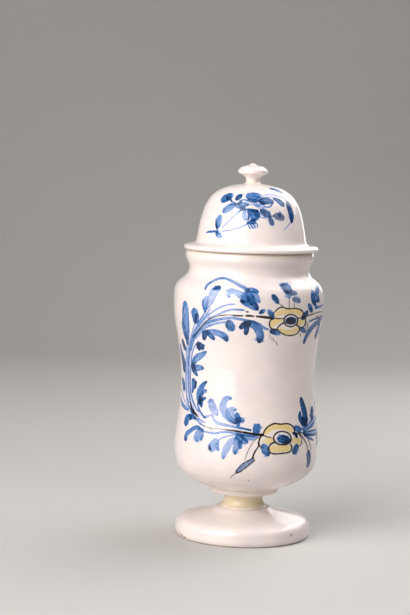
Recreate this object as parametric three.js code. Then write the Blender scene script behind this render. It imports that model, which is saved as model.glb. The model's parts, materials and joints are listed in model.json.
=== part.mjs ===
// A lidded apothecary jar of tin-glazed earthenware: a waisted body with a rolled rim, standing on a
// collar, a short stem and a spreading foot, and closed by a domed lid with a button knob.
// Millimetres, +Z up. The origin is the centre of the ring that the foot stands on.
// Each thrown piece is its own solid. A potter lutes them together on flat scored faces, so
// neighbours in one assembly meet face to face there, and only the lid comes off.
import * as THREE from "three";

// Foot, turned as one disc with a fat rounded edge and hollowed underneath.
const footRadius = 56.1;
const footEdgeHeight = 8; // where the rounded edge is widest
const footRollHeight = 15.6; // top of the rounded edge
const footRollWidth = 7;
const footRingRadius = 53.4; // outside of the flat ring that the jar stands on
const footRingWidth = 7.5;
const footHeight = 24; // up to the joint with the stem
const footThickness = 7.5; // clay over the hollow
const footHollowTopRadius = 15; // flat top of the hollow, under the stem

// Stem, a short waisted piece.
const stemFootRadius = 20.6;
const stemWaistRadius = 16.3;
const stemTopRadius = 17.4;
const stemWaistHeight = 7.2; // above the joint with the foot
const stemHeight = 12.5;

// Collar, the stepped ring that the body is seated on.
const collarRadius = 28.8;
const collarHeight = 5;
const collarRounding = 2.2;

// Body, from its flat bottom up: belly, waist, swell, shoulder, corner, neck, rim and lid seat.
const baseRadius = 30;
const bellyRadius = 59.9;
const waistRadius = 55.6;
const swellRadius = 58.2;
const shoulderRadius = 62;
const cornerRadius = 56.3; // where the shoulder turns in to the neck
const neckRadius = 49.7;
const rimRadius = 53;
const baseToBelly = 32.5;
const bellyToWaist = 51;
const waistToSwell = 38;
const swellToShoulder = 31;
const shoulderToCorner = 19.4;
const cornerToNeck = 9.6;
const neckToRim = 11;
const rimToSeat = 4.3;
const rimRounding = 3.4;
const bodyWall = 5;
const floorThickness = 7;
const floorCornerRadius = 9; // of the hollow curve between the floor and the wall
const floorCornerRise = 2;
const mouthRounding = 1.2;

// Lid, with a flange that rests on the rim and a bezel that drops into the mouth.
const flangeRadius = 55.7;
const flangeThickness = 4.5;
const flangeRounding = 1.7;
const domeFootHeight = 7.6; // above the seat, where the hollow curve from the flange ends
const domeRadius = 45.4;
const domeHeight = 54.6; // from the seat up to the crown
const lidWall = 4.5;
const bezelClearance = 1.1; // between the bezel and the mouth, all round
const bezelThickness = 3.4;
const bezelDepth = 10;
const bezelRounding = 1.2;

// Knob, a flattened button on a waisted stalk, with a small point. Heights are above the crown.
const knobBaseRadius = 8;
const knobWaistRadius = 5.5;
const knobUnderRadius = 11; // underside of the button's edge
const knobRadius = 12.2;
const knobShoulderRadius = 10.4;
const knobPointRadius = 3.4;
const knobWaistHeight = 2.8;
const knobUnderHeight = 8.2;
const knobEdgeHeight = 9.9;
const knobShoulderHeight = 13;
const knobPointHeight = 15.6;
const knobHeight = 17.1;

const facets = 40; // round each turned piece

const stemBase = footHeight;
const collarBase = stemBase + stemHeight;
const bodyBase = collarBase + collarHeight;
const bellyHeight = bodyBase + baseToBelly;
const waistHeight = bellyHeight + bellyToWaist;
const swellHeight = waistHeight + waistToSwell;
const shoulderHeight = swellHeight + swellToShoulder;
const cornerHeight = shoulderHeight + shoulderToCorner;
const neckHeight = cornerHeight + cornerToNeck;
const rimHeight = neckHeight + neckToRim;
const seatHeight = rimHeight + rimToSeat;
const crownHeight = seatHeight + domeHeight;
const mouthRadius = neckRadius - bodyWall;
const bezelRadius = mouthRadius - bezelClearance;
const lidMouthRadius = bezelRadius - bezelThickness;

// A smooth outline through stations of radius, height and direction. The direction is the way the
// surface runs there in degrees: 0 straight outwards, 90 straight up and 180 straight inwards.
function thrown(stations, steps, reach = 0.42) {
  const handle = ([radius, height, direction], length) => {
    const angle = THREE.MathUtils.degToRad(direction);
    return new THREE.Vector2(radius + length * Math.cos(angle), height + length * Math.sin(angle));
  };
  return stations.slice(1).flatMap((to, i) => {
    const from = stations[i];
    const length = reach * Math.hypot(to[0] - from[0], to[1] - from[1]);
    const curve = new THREE.CubicBezierCurve(handle(from, 0), handle(from, length), handle(to, -length), handle(to, 0));
    return curve.getPoints(steps);
  });
}

// The same outline moved in by a wall's thickness, square to its own direction.
function inside(outline, wall) {
  return outline.map((p, i) => {
    const before = outline[Math.max(i - 1, 0)];
    const after = outline[Math.min(i + 1, outline.length - 1)];
    const along = after.clone().sub(before).normalize();
    return new THREE.Vector2(p.x - wall * along.y, p.y + wall * along.x);
  });
}

// Joins runs of an outline and leaves out doubled points.
function joined(...runs) {
  const points = runs.flat().map((p) => (p.isVector2 ? p : new THREE.Vector2(p[0], p[1])));
  return points.filter((p, i) => i === 0 || p.distanceTo(points[i - 1]) > 1e-4);
}

// A turned piece, from an outline that runs anticlockwise in the plane of radius and height.
function turned(name, outline, material) {
  const mesh = new THREE.Mesh(new THREE.LatheGeometry(outline, facets).rotateX(Math.PI / 2), material);
  mesh.name = name;
  return mesh;
}

function glaze(color, roughness) {
  return new THREE.MeshStandardMaterial({ color, roughness, metalness: 0 });
}

const whiteGlaze = glaze(0xefe6df, 0.22);
const yellowedGlaze = glaze(0xe6d9b4, 0.38);

function footDisc() {
  const hollowTop = footHeight - footThickness;
  const outline = joined(
    [[0, hollowTop], [footHollowTopRadius, hollowTop]],
    [[footRingRadius - footRingWidth, footRollHeight - footThickness], [footRingRadius - footRingWidth, 0]],
    thrown([[footRingRadius, 0, 20], [footRadius, footEdgeHeight, 90]], 4),
    thrown([[footRadius, footEdgeHeight, 90], [footRadius - footRollWidth, footRollHeight, 166]], 5),
    thrown([[footRadius - footRollWidth, footRollHeight, 166], [stemFootRadius, footHeight, 154]], 5),
    [[0, footHeight]],
  );
  return turned("foot_disc", outline, whiteGlaze);
}

function stem() {
  const outline = joined(
    [[0, stemBase]],
    thrown(
      [
        [stemFootRadius, stemBase, 146],
        [stemWaistRadius, stemBase + stemWaistHeight, 90],
        [stemTopRadius, collarBase, 72],
      ],
      4,
    ),
    [[0, collarBase]],
  );
  return turned("stem", outline, yellowedGlaze);
}

function collar() {
  const outline = joined(
    [[0, collarBase]],
    thrown([[collarRadius - collarRounding, collarBase, 0], [collarRadius, collarBase + collarRounding, 90]], 4),
    [[collarRadius, bodyBase], [0, bodyBase]],
  );
  return turned("base_collar", outline, whiteGlaze);
}

// The body's outside from its flat bottom up to the neck, which the inside follows too.
function bodyOutside() {
  return joined(
    thrown([[baseRadius, bodyBase, 17], [bellyRadius, bellyHeight, 90]], 9, 0.45),
    thrown([[bellyRadius, bellyHeight, 90], [waistRadius, waistHeight, 90]], 5, 0.36),
    thrown([[waistRadius, waistHeight, 90], [swellRadius, swellHeight, 82]], 4),
    thrown([[swellRadius, swellHeight, 82], [shoulderRadius, shoulderHeight, 90]], 4),
    thrown([[shoulderRadius, shoulderHeight, 90], [cornerRadius, cornerHeight, 141]], 6),
    thrown([[cornerRadius, cornerHeight, 141], [neckRadius, neckHeight, 90]], 4),
  );
}

function jarBody() {
  const floorHeight = bodyBase + floorThickness;
  const wall = inside(bodyOutside(), bodyWall).slice(0, -1).filter((p) => p.y > floorHeight + floorCornerRise);
  const corner = wall[0];
  const outline = joined(
    [[0, bodyBase]],
    bodyOutside(),
    thrown([[neckRadius, neckHeight, 90], [rimRadius, rimHeight, 90], [rimRadius - rimRounding, seatHeight, 180]], 4),
    [[mouthRadius + mouthRounding, seatHeight], [mouthRadius, seatHeight - mouthRounding], [mouthRadius, neckHeight]],
    wall.toReversed(),
    thrown([[corner.x, corner.y, 230], [corner.x - floorCornerRadius, floorHeight, 180]], 3),
    [[0, floorHeight]],
  );
  return turned("jar_body", outline, whiteGlaze);
}

function lidDome() {
  const domeFoot = seatHeight + domeFootHeight;
  const flangeTop = seatHeight + flangeThickness;
  const outside = thrown([[domeRadius, domeFoot, 100], [knobBaseRadius, crownHeight, 174]], 12, 0.5);
  const hollow = inside(outside, lidWall).filter((p) => p.x > knobBaseRadius);
  const outline = joined(
    [[0, crownHeight - lidWall]],
    hollow.toReversed(),
    [[lidMouthRadius, seatHeight]],
    thrown([[flangeRadius - flangeRounding, seatHeight, 0], [flangeRadius, seatHeight + flangeRounding, 90]], 3),
    thrown([[flangeRadius, seatHeight + flangeRounding, 90], [flangeRadius - 2 * flangeRounding, flangeTop, 166]], 3),
    thrown([[flangeRadius - 2 * flangeRounding, flangeTop, 166], [domeRadius, domeFoot, 100]], 4),
    outside,
    [[0, crownHeight]],
  );
  return turned("lid_dome", outline, whiteGlaze);
}

function lidBezel() {
  const foot = seatHeight - bezelDepth;
  const outline = joined([
    [lidMouthRadius, seatHeight],
    [lidMouthRadius, foot + bezelRounding],
    [lidMouthRadius + bezelRounding, foot],
    [bezelRadius - bezelRounding, foot],
    [bezelRadius, foot + bezelRounding],
    [bezelRadius, seatHeight],
    [lidMouthRadius, seatHeight],
  ]);
  return turned("lid_bezel", outline, whiteGlaze);
}

function lidKnob() {
  const stations = [
    [knobBaseRadius, 0, 168],
    [knobWaistRadius, knobWaistHeight, 90],
    [knobUnderRadius, knobUnderHeight, 22],
    [knobRadius, knobEdgeHeight, 90],
    [knobShoulderRadius, knobShoulderHeight, 138],
    [knobPointRadius, knobPointHeight, 160],
    [0, knobHeight, 180],
  ].map(([radius, height, direction]) => [radius, crownHeight + height, direction]);
  const outline = joined([[0, crownHeight]], thrown(stations, 4));
  return turned("lid_knob", outline, whiteGlaze);
}

const jar = new THREE.Group();
jar.add(footDisc(), stem(), collar(), jarBody());

const lid = new THREE.Group();
lid.add(lidDome(), lidBezel(), lidKnob());

const apothecaryJar = new THREE.Group();
apothecaryJar.add(jar, lid);

export default apothecaryJar;
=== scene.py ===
"""A lidded apothecary jar in painted tin-glazed earthenware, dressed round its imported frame.

Every piece is thrown from the outline of its own CAD node: a flat sheet is wrapped round the
jar's axis by Geometry Nodes. The painter's strokes are cut into the sheets of the body and
the lid before they are wrapped, so their edges are edges of the mesh.
"""
import json
import math

import bmesh
import bpy
import numpy as np
from mathutils import Matrix, Vector, geometry


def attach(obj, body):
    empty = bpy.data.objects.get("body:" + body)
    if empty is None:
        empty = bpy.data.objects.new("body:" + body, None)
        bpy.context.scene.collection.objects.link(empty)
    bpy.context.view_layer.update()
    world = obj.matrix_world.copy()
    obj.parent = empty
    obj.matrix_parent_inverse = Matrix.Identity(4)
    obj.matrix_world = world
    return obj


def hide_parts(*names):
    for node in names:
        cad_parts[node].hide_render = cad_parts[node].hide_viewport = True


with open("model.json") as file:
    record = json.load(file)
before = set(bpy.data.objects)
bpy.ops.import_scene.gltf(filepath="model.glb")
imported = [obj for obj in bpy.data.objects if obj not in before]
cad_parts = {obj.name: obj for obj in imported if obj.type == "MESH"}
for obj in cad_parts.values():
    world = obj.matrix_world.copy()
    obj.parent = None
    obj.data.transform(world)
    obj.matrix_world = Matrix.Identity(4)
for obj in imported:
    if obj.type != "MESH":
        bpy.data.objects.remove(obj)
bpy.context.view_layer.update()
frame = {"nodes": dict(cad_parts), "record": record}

bl_info = {
    "name": "Apothecary jar",
    "version": (1, 0, 0),
    "blender": (4, 5, 0),
    "location": "3D View > Sidebar > Jar",
    "description": "Throws, glazes and paints a lidded apothecary jar round its frame",
    "category": "Object",
}

MM = 0.001

# Brush strokes as a painter lays them, in groups of one pigment. Each stroke is the points that
# the brush passes: degrees round from the front, positive to the right, height over the table in
# mm, the stroke's width there in mm, and how strong the colour is, from 0 to about 1.2.
COBALT, YELLOW, OUTLINE = 0, 1, 2

WREATH = (
    # Washes under the veins and the stems
    (COBALT,
     ((-48.7, 169.6, 4.7, .15), (-53.5, 161.7, 8, .15), (-57.5, 153, 10.3, .15),
      (-60.4, 141.9, 10.7, .15), (-61.2, 131.9, 10.3, .15), (-59.6, 122.2, 10.4, .15),
      (-55.6, 114.6, 9.2, .15), (-48.9, 109.3, 6.6, .15), (-42.8, 104.8, 4.1, .15)),
     ((-49, 167.9, 5.3, .15), (-41.9, 176, 5.8, .15), (-36.1, 183.1, 5.4, .15),
      (-31.4, 187.5, 3.5, .15)),
     ((-42.5, 171.9, 5.5, .2), (-35.6, 178.2, 4.7, .2), (-29, 182.2, 3.8, .2),
      (-21.3, 184.7, 3.4, .15), (-15, 185.5, 2.6, .15))),
    # Tall leaves at the left
    (COBALT,
     ((-56, 194.3, 6.7, .7), (-55.7, 191.3, 8.8, .64), (-55.5, 186.1, 9.4, .64),
      (-56.1, 180.3, 10, .66), (-56.5, 175.3, 9.4, .73), (-57.2, 169.5, 6.9, .85),
      (-58, 162.8, 3.6, .99)),
     ((-60.8, 178.1, 5, .7), (-60.6, 173.2, 5.9, .7), (-58.9, 167.7, 5.5, .85)),
     ((-59, 191.4, 2.2, .8), (-59.6, 185.7, 2.2, .75), (-60.2, 180.7, 2.4, .8)),
     ((-44.7, 190.4, 5.5, .66), (-43.9, 187.6, 8.3, .73), (-43.2, 184.9, 7.4, .85),
      (-43.8, 182, 3.8, 1.03), (-44.2, 180.5, 1.9, .94)),
     ((-42.3, 187.4, 3, .89), (-43.1, 184.1, 3.1, .94))),
    # Pale leaf over the veins
    (COBALT,
     ((-24.6, 210.5, 5.1, .8), (-26.2, 208.7, 7.6, .52), (-27.6, 205.5, 7.6, .45),
      (-28.9, 201.4, 6.8, .45), (-31, 197.2, 5.1, .42), (-33.1, 193.8, 3.3, .5)),
     ((-27.4, 209.5, 2.6, .7), (-25.5, 210.7, 3.6, .75), (-23.1, 210.4, 2.4, .7)),
     ((-32.9, 201.9, 4, .42), (-34.1, 198.6, 6.5, .46), (-34.1, 195.4, 5.6, .5),
      (-34, 192.6, 3.6, .66), (-34, 190.7, 1.8, .7)),
     ((-35.7, 199.7, 1.2, .6), (-36.2, 196.8, 1.4, .6), (-35.1, 193.3, 1.4, .7))),
    # Veins up the left
    (COBALT,
     ((-34, 190.5, 1, .56), (-37.4, 185.8, 1.3, .56), (-41.9, 179.7, 1.5, .56),
      (-47, 172.2, 1.7, .56), (-51.9, 164.3, 1.8, .58), (-56, 155.6, 2.2, .62),
      (-58.6, 147.1, 2.5, .63), (-59.7, 138.7, 2.6, .63), (-60, 130.4, 2.6, .63),
      (-59.5, 123.9, 2.6, .65), (-57.3, 117.6, 2.4, .67), (-54, 112.3, 1.9, .67),
      (-49.4, 108.4, 1.6, .67)),
     ((-45.1, 179.8, 1.1, .56), (-48.3, 173.7, 1.4, .54), (-52, 167.6, 1.5, .52),
      (-56, 160.6, 1.8, .52), (-59.4, 152.8, 2, .52), (-61.9, 144.2, 2.4, .52),
      (-63.2, 135.8, 2.5, .52), (-63.9, 127.5, 2.6, .52), (-63.4, 120.9, 2.3, .52),
      (-61, 114.6, 1.9, .54), (-55.6, 109.6, 1.4, .56), (-49.5, 105.2, 1.1, .56),
      (-42.8, 101.2, .98, .52)),
     ((-45.4, 164.2, 1.1, .56), (-50, 158.8, 1.4, .58), (-53.3, 152.7, 1.5, .62),
      (-55.3, 145.8, 1.5, .67), (-56.7, 139.1, 1.5, .73), (-57.2, 132.4, 1.5, .73),
      (-56.8, 125.9, 1.8, .69), (-54.6, 119.6, 1.9, .67), (-51.2, 114.7, 1.8, .67),
      (-46.6, 110.4, 1.3, .67), (-43.2, 108, .97, .67)),
     ((-59.2, 160.2, 1.6, .56), (-62.4, 153.3, 1.9, .56), (-64.3, 146.4, 1.9, .56),
      (-65.9, 138.8, 2.2, .54), (-67.1, 131.2, 2.2, .52), (-66.4, 124.6, 1.8, .5),
      (-63.2, 119.3, 1.5, .5), (-58.6, 114.1, 1.3, .54)),
     ((-78.7, 123, 1.4, .47), (-71.2, 117.3, 1.7, .5), (-63.4, 112.7, 1.4, .54),
      (-55.1, 108.5, 1.1, .56), (-47.4, 103.8, 1, .56)),
     ((-40.4, 175.3, 1.1, .62), (-45.6, 169.9, 1.4, .62), (-49.8, 163.7, 1.7, .62),
      (-53.6, 157.6, 1.6, .62))),
    # Dark end of the stem at the left
    (OUTLINE,
     ((-56.3, 114.1, 1.8, .67), (-53.6, 110.3, 2.3, 1.06), (-50.6, 107.6, 2.3, 1.18),
      (-47.4, 106, 2.2, 1.18), (-44.1, 104.2, 1.4, .9))),
    (COBALT,
     ((-45.8, 114.6, 1.8, .75), (-44.4, 111.5, 1.8, .7), (-41.4, 108.2, 1.7, .66),
      (-38.4, 105.5, 1.6, .72), (-35.7, 104.1, 1.5, .75)),
     ((-37.8, 104.4, 1.7, .5), (-34.3, 105.3, 2.3, .42), (-31.9, 106.5, 1.4, .36)),
     ((-43, 102.8, 1.5, .45), (-39.5, 101.3, 2.2, .4), (-35.7, 100.4, 1.5, .38)),
     ((-54.1, 107.4, 1.9, .55), (-47.2, 103, 1.8, .52), (-40.8, 99.2, 1.7, .5),
      (-35.8, 97.2, 1.3, .45))),
    # Leaves at the left edge
    (COBALT,
     ((-66.3, 163.5, 4.4, 1), (-65.2, 160.3, 5.6, 1.1), (-63, 157.3, 3.1, 1)),
     ((-75.7, 158.3, 4.7, .7), (-73.5, 152.7, 7.2, .8), (-70.5, 147.3, 8.5, .95),
      (-69.4, 142.5, 7.7, 1.05), (-69.2, 139.2, 4.4, 1)),
     ((-75.2, 130.5, 4, .9), (-71.9, 127.6, 6.8, .95), (-69.8, 123.8, 4.6, .95)),
     ((-79.9, 115.3, 2.9, .45), (-73.9, 112, 3.5, .6), (-66.2, 109.5, 3.5, .62),
      (-58.1, 107.9, 2.4, .6))),
    # Leaves right of the veins
    (COBALT,
     ((-44.7, 162.6, 2.9, .9), (-42.2, 162.6, 6.1, .95), (-39.7, 161.7, 4.6, 1.05),
      (-38.4, 161, 2.3, 1)),
     ((-43.5, 161.9, 5, 1), (-42.9, 159.2, 2.5, 1)),
     ((-52.5, 145.8, 4.2, .8), (-50.2, 149.1, 5.4, .7), (-45.5, 152.5, 6, .6),
      (-40.6, 155, 4.8, .62), (-36.1, 157.8, 2, .8)),
     ((-52.2, 145.4, 4.5, .95), (-52, 142.1, 5.7, 1.1), (-50, 139.9, 4.4, .85),
      (-47.7, 137.9, 2.7, .85)),
     ((-50.8, 143.7, 3.9, .8), (-46.2, 143.8, 5.4, .6), (-42.4, 144.3, 4, .7),
      (-40.4, 144.1, 2.4, .9)),
     ((-52.6, 132.6, 4.4, .85), (-51.9, 129.8, 6.2, .8), (-52.9, 126.4, 3.7, .9),
      (-53.3, 123.2, 2, .95)),
     ((-49.1, 131.4, 2.9, .95), (-49.9, 127.6, 2.7, .9)),
     ((-36.8, 133.3, 1.9, .85), (-40.4, 130.3, 4.3, .74), (-43.2, 125.9, 6.7, .68),
      (-44.3, 121.7, 7.7, .68), (-43.4, 117.7, 6.5, .85), (-41.8, 114.7, 4.1, .95),
      (-41.2, 112.8, 2, .85)),
     ((-41.3, 123.3, 3.8, .72), (-38.8, 125.6, 2.8, .7), (-37, 126.6, 1.4, .75)),
     ((-40.4, 118.7, 3.5, .85), (-37.5, 120, 2, .85)),
     ((-43.3, 119.8, 3.4, .9), (-43.2, 116.5, 3.6, 1.15)),
     ((-38.1, 125.3, .74, .7), (-36.7, 126.4, .7, .7), (-36, 125.3, .82, .7),
      (-37.4, 124.4, .73, .7))),
    # Top stem
    (COBALT,
     ((-53.4, 162.5, 2, .46), (-46.9, 169.4, 1.8, .46), (-40.4, 175.3, 1.8, .5),
      (-35, 180.1, 2, .54), (-29.8, 183.1, 2.4, .6), (-23.8, 185.1, 2.4, .6),
      (-17.4, 186.7, 2.3, .54), (-12, 187.3, 2.2, .54), (-6, 186.6, 2.2, .57),
      (-.8, 185.7, 2.2, .57), (4.4, 184.4, 2.3, .56), (8.9, 182.4, 2.3, .6), (12.9, 179.6, 2, .58),
      (15.6, 178.9, 1.3, .62)),
     ((-45.3, 168.3, 1.9, .48), (-40.2, 173.3, 1.8, .48), (-34.7, 177.5, 1.8, .55),
      (-29.1, 180.4, 1.8, .62), (-23.1, 182.4, 1.7, .6), (-17.4, 183.5, 1.5, .56))),
    (OUTLINE,
     ((-50, 168, .82, .67), (-46.7, 170.6, 1, 1.06), (-42.1, 174.4, 1.1, 1.06),
      (-38, 178.4, 1.1, 1.06), (-34.3, 182.2, 1, 1.06), (-30.6, 184.8, 1, 1.06),
      (-26.2, 186.9, .99, 1.01), (-21.3, 188.6, 1.1, .95), (-17.4, 189.3, 1.1, .9),
      (-14.3, 189.6, .9, .67), (-11.2, 189.4, 1.2, 1.01), (-7.5, 189.3, 1.3, 1.12),
      (-4.2, 189.4, 1.3, 1.12)),
     ((-1.6, 189.5, 1.4, 1.12), (1.4, 189.6, 1.7, 1.12), (4.2, 189.3, 1.3, 1.01)),
     ((6.2, 189.2, 1.4, 1.12), (9.5, 189, 1.9, 1.12), (13.3, 188.6, 2.2, 1.12),
      (16.8, 188.1, 2.2, 1.12)),
     ((-1.8, 193.1, 1, .56), (-.3, 192.6, 1.6, .9))),
    # Pale sprays over the top stem
    (COBALT,
     ((-35.4, 208.7, 1.8, .67), (-35.5, 210.9, 2.7, .61), (-34.1, 213.7, 3.3, .59),
      (-30.2, 216.4, 3.1, .56), (-24.1, 217.9, 2.5, .56), (-16.9, 216.7, 2.8, .54),
      (-9.9, 214.2, 3.4, .5), (-4.7, 212, 3.8, .56), (-.6, 209.5, 3.6, .7)),
     ((-14.3, 204.1, 1.8, .61), (-15.8, 206.3, 3.9, .51), (-14.7, 208.3, 5.2, .49),
      (-11.2, 208.3, 5, .49), (-7.3, 206.8, 5.6, .51), (-3.4, 204.6, 5.9, .59),
      (-.4, 202.9, 5, .67)),
     ((-10.4, 198.4, 1.2, .55), (-15.2, 197.7, 1.4, .49), (-21, 195.3, 1.6, .49),
      (-26.6, 191.7, 1.8, .49), (-31.4, 188.1, 1.9, .48), (-36.7, 182.6, 1.8, .46),
      (-42.5, 175.6, 1.8, .46), (-47.6, 168.9, 1.8, .5)),
     ((-3.1, 193.9, 1.3, .61), (-7.6, 194.1, 1.6, .59), (-13.6, 193.6, 1.7, .55),
      (-19.7, 191.1, 1.7, .51), (-26.2, 187.9, 1.6, .51), (-31, 185.8, 1.5, .51)),
     ((-29.6, 193.3, 1.3, .43), (-32.7, 189, 1.7, .44), (-37.6, 182.9, 1.7, .44),
      (-42.9, 176.3, 1.7, .46))),
    # Dark cluster over the top stem
    (COBALT,
     ((-1.4, 209.5, 3.7, .59), (2.4, 210.2, 4.6, .63), (6.2, 208.9, 3.3, .67)),
     ((3.2, 207.7, 4.6, .63), (5.7, 204.7, 5, .6), (7.6, 201.3, 3, .63)),
     ((-1, 209.9, 3.4, .63), (.6, 206.1, 5.4, .71), (2.5, 202.2, 5.8, .84), (4.4, 199.1, 4.6, .92),
      (6.4, 196, 3.4, .88)),
     ((-5.3, 201.2, 2.7, .8), (-2.9, 200, 4.3, .76), (.4, 198.2, 4.5, .67), (3.8, 195.9, 3.4, .67),
      (6.8, 194.5, 1.8, .76)),
     ((-5.5, 201.2, 2, .76), (-3.3, 200.2, 2, .8)),
     ((-2.8, 206.8, 4.2, .46), (-1.2, 202.9, 5, .5), (1.1, 199.8, 4.2, .59)),
     ((8.7, 192, 2, .84), (10.2, 193.1, 3.4, .84), (11.8, 194, 2.6, .5)),
     ((15, 194.1, 2.2, .5), (16.2, 192.5, 3.9, .71), (17.9, 190.1, 4.4, .88),
      (18.4, 188.1, 3.2, .97))),
    # Leaves under the top stem
    (COBALT,
     ((-14.5, 183.5, 4.4, .9), (-13.6, 181.1, 7.5, .8), (-12.3, 178.9, 5.6, .76)),
     ((-15.7, 183, 1.7, .9), (-15.8, 179.8, 1.6, .9)),
     ((-36.2, 173.3, 4.2, .75), (-30.4, 174.6, 4.7, .62), (-25.2, 174.6, 5.3, .6),
      (-21.1, 173.5, 5.7, .6), (-17.7, 171.3, 5.5, .7), (-16.7, 169.4, 3.5, .85)),
     ((-33.6, 174.7, 2.8, .8), (-35.9, 171.7, 5.3, .9), (-36.7, 169, 3.7, 1.1)),
     ((-31.5, 172.9, 4.1, .8), (-29.4, 171, 4.5, .85), (-27.8, 169.5, 3, 1)),
     ((-18.5, 170.6, 2.3, .85), (-17, 168.9, 2.8, 1)),
     ((-5.2, 180.1, 3.4, 1.1), (-2.8, 182.2, 5, 1.1), (.3, 183.4, 5, .95)),
     ((-.8, 181.7, 4.2, 1), (-1.1, 178.5, 4.5, 1.1), (-1.5, 175.6, 3.4, 1.15)),
     ((-1.5, 183.1, 4.6, .9), (2.2, 183.3, 5.9, .8), (6, 181.1, 6.6, .7), (8.3, 177.5, 6.6, .68),
      (9.5, 173.4, 6.3, .72), (9.1, 170.7, 5.2, .98), (8.8, 169.3, 3.6, 1.2))),
    # Top flower
    (YELLOW,
     ((20.6, 189.7, 2.9, .8), (23.7, 192.2, 4.6, .95), (28.6, 193.3, 4.1, 1), (33.9, 193.5, 3.6, 1),
      (39.6, 192.5, 4, 1), (43.9, 189.8, 3.4, 1)),
     ((18.2, 182, 3, .95), (19.6, 184.6, 5.1, 1.1), (22.3, 185.8, 4.5, 1.1),
      (25.2, 186.4, 2.9, .9)),
     ((24.4, 179.1, 2.8, .95), (27.6, 177.2, 3.6, 1), (33, 176.3, 4.2, 1), (38.1, 177.1, 4.4, 1),
      (41.3, 179, 2.9, .95)),
     ((40.3, 182.7, 2.8, .9), (43.3, 183.9, 4.6, 1.05), (46.2, 184.6, 3.6, 1))),
    (COBALT,
     ((31.4, 185.6, 5, 1.25), (33.8, 185.6, 6.6, 1.3), (36.3, 185.4, 5.5, 1.1))),
    (OUTLINE,
     ((31.3, 185.5, 2.8, .78), (33, 185.2, 4, .78)),
     ((33.6, 190.7, 1.2, 1.12), (37.7, 189.5, 1.2, 1.12), (40.1, 186.6, 1.6, 1.12),
      (39.8, 183.4, 1.7, 1.12), (36.8, 181.2, 1.3, 1.12), (32.9, 180.9, 1.2, 1.12),
      (29.4, 182.5, 1.2, 1.12), (27.8, 185.5, 1.4, 1.12), (28.6, 188.6, 1.4, 1.12),
      (31, 190.3, 1.3, 1.12), (33.6, 190.7, 1.2, 1.12)),
     ((19.3, 192.4, .83, .9), (21.6, 194.8, 1.1, 1.12), (24, 196.4, 1.1, 1.12),
      (26.4, 196.7, 1, 1.12), (29.4, 195.6, 1, 1.12), (33.4, 195.3, 1, 1.12),
      (37.5, 195.5, 1, 1.12), (41.5, 194.6, 1.1, 1.12), (45.1, 192.4, 1.4, 1.12),
      (46.6, 189.7, 1.5, 1.12)),
     ((18.2, 187.8, 1.3, 1.12), (16.6, 185.8, 1.3, 1.12), (16.1, 183.2, 1.3, 1.12),
      (16.9, 180.5, 1.3, 1.12), (18.7, 179, 1.2, 1.12), (22.2, 178.6, 1, 1.12)),
     ((22.6, 178.9, 1.1, 1.12), (25.1, 176.6, 1.1, 1.12), (28.7, 174.6, 1.1, 1.12),
      (33.3, 173.5, 1.1, 1.12), (38.1, 173.8, 1.2, 1.12), (41.9, 175.5, 1.4, 1.12),
      (43.3, 178.3, 1.7, 1.12), (41.8, 180.5, 1.4, 1.12), (39.3, 181.9, 1.2, 1.12)),
     ((22.4, 179.3, 1.1, 1.12), (24.2, 181.9, 1.3, 1.12), (26.4, 183.5, 1.4, 1.12),
      (28.7, 184.2, 1.2, 1.12)),
     ((46.7, 188.9, 1.2, 1.12), (48.5, 186.4, 1.5, 1.12), (49.2, 183.7, 1.7, 1.12),
      (48.1, 180.9, 1.5, 1.12), (45.6, 179.3, 1.2, 1.12), (43, 178.8, 1, 1.12)),
     ((19.1, 187.9, .94, 1.06), (22.7, 187.6, .95, 1.06), (27.6, 187.6, .95, 1.06)),
     ((40.2, 187.2, .89, .9), (43.5, 187.6, .97, 1.01), (46.7, 187.7, 1, 1.12))),
    (COBALT,
     ((17.7, 177.3, 2.7, 1.05), (19.9, 177.2, 5.1, 1.05), (22.6, 175.9, 4.2, .72),
      (24.9, 174.7, 2, .5)),
     ((45.1, 187.2, 3.2, 1.15), (47.5, 189.2, 5.4, 1.1), (50.3, 191.5, 3.7, 1)),
     ((44, 179.1, 2.7, .85), (47, 177.4, 4.4, .88), (50.1, 176, 2.7, .85)),
     ((18.6, 205.6, 3.6, .75), (19.9, 203.7, 4.8, .72), (21.9, 200.9, 3.5, .68))),
    (OUTLINE,
     ((19, 204.8, 3.4, .48), (21.4, 201.3, 2.8, .51)),
     ((22.5, 200.2, .96, .73), (24.7, 198.5, .88, .78), (26.7, 196.7, .89, .9))),
    (COBALT,
     ((30.9, 213.4, 6.5, .9), (31.2, 212, 9.7, .88), (31.2, 210.1, 6.4, .72)),
     ((29.5, 209.9, 5.3, .56), (31.4, 207.9, 6.7, .48), (31.6, 205, 3.1, .5)),
     ((31.4, 208.8, 4.8, .46), (34.9, 208.4, 5.8, .46), (38.5, 207.4, 3.2, .5))),
    (OUTLINE,
     ((30.6, 209, 4.7, .48), (34.4, 208.2, 5.7, .54), (38, 207.5, 2.9, .54)),
     ((31.6, 204.3, 1, .73), (31.7, 200.3, 1, .67), (31.8, 196.1, 1, .78))),
    (COBALT,
     ((35.7, 202.6, 2.6, .5), (38.3, 202.6, 5.2, .5), (40.9, 201.3, 4, .5))),
    (OUTLINE,
     ((36, 202.6, 3.3, .51), (40.5, 201.4, 3.7, .51)),
     ((36, 199.6, .98, .62), (36.3, 195.8, .99, .73)),
     ((17.1, 174.3, .83, .5), (16.9, 171.4, .83, .5)),
     ((18.6, 172.8, .83, .56), (19, 169.8, .83, .56)),
     ((19.9, 171.4, .98, .62), (20.9, 168.7, .82, .62)),
     ((22.4, 168.5, 1.1, .56), (23.6, 166, .99, .62)),
     ((44.2, 174.7, 1.1, .78), (45.1, 173, 1.2, .78)),
     ((49.8, 183.8, 1.3, .67), (49.8, 178.9, 1.3, .62)),
     ((52, 183.3, 1.4, .56), (51.8, 176.7, 1.4, .56)),
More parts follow.
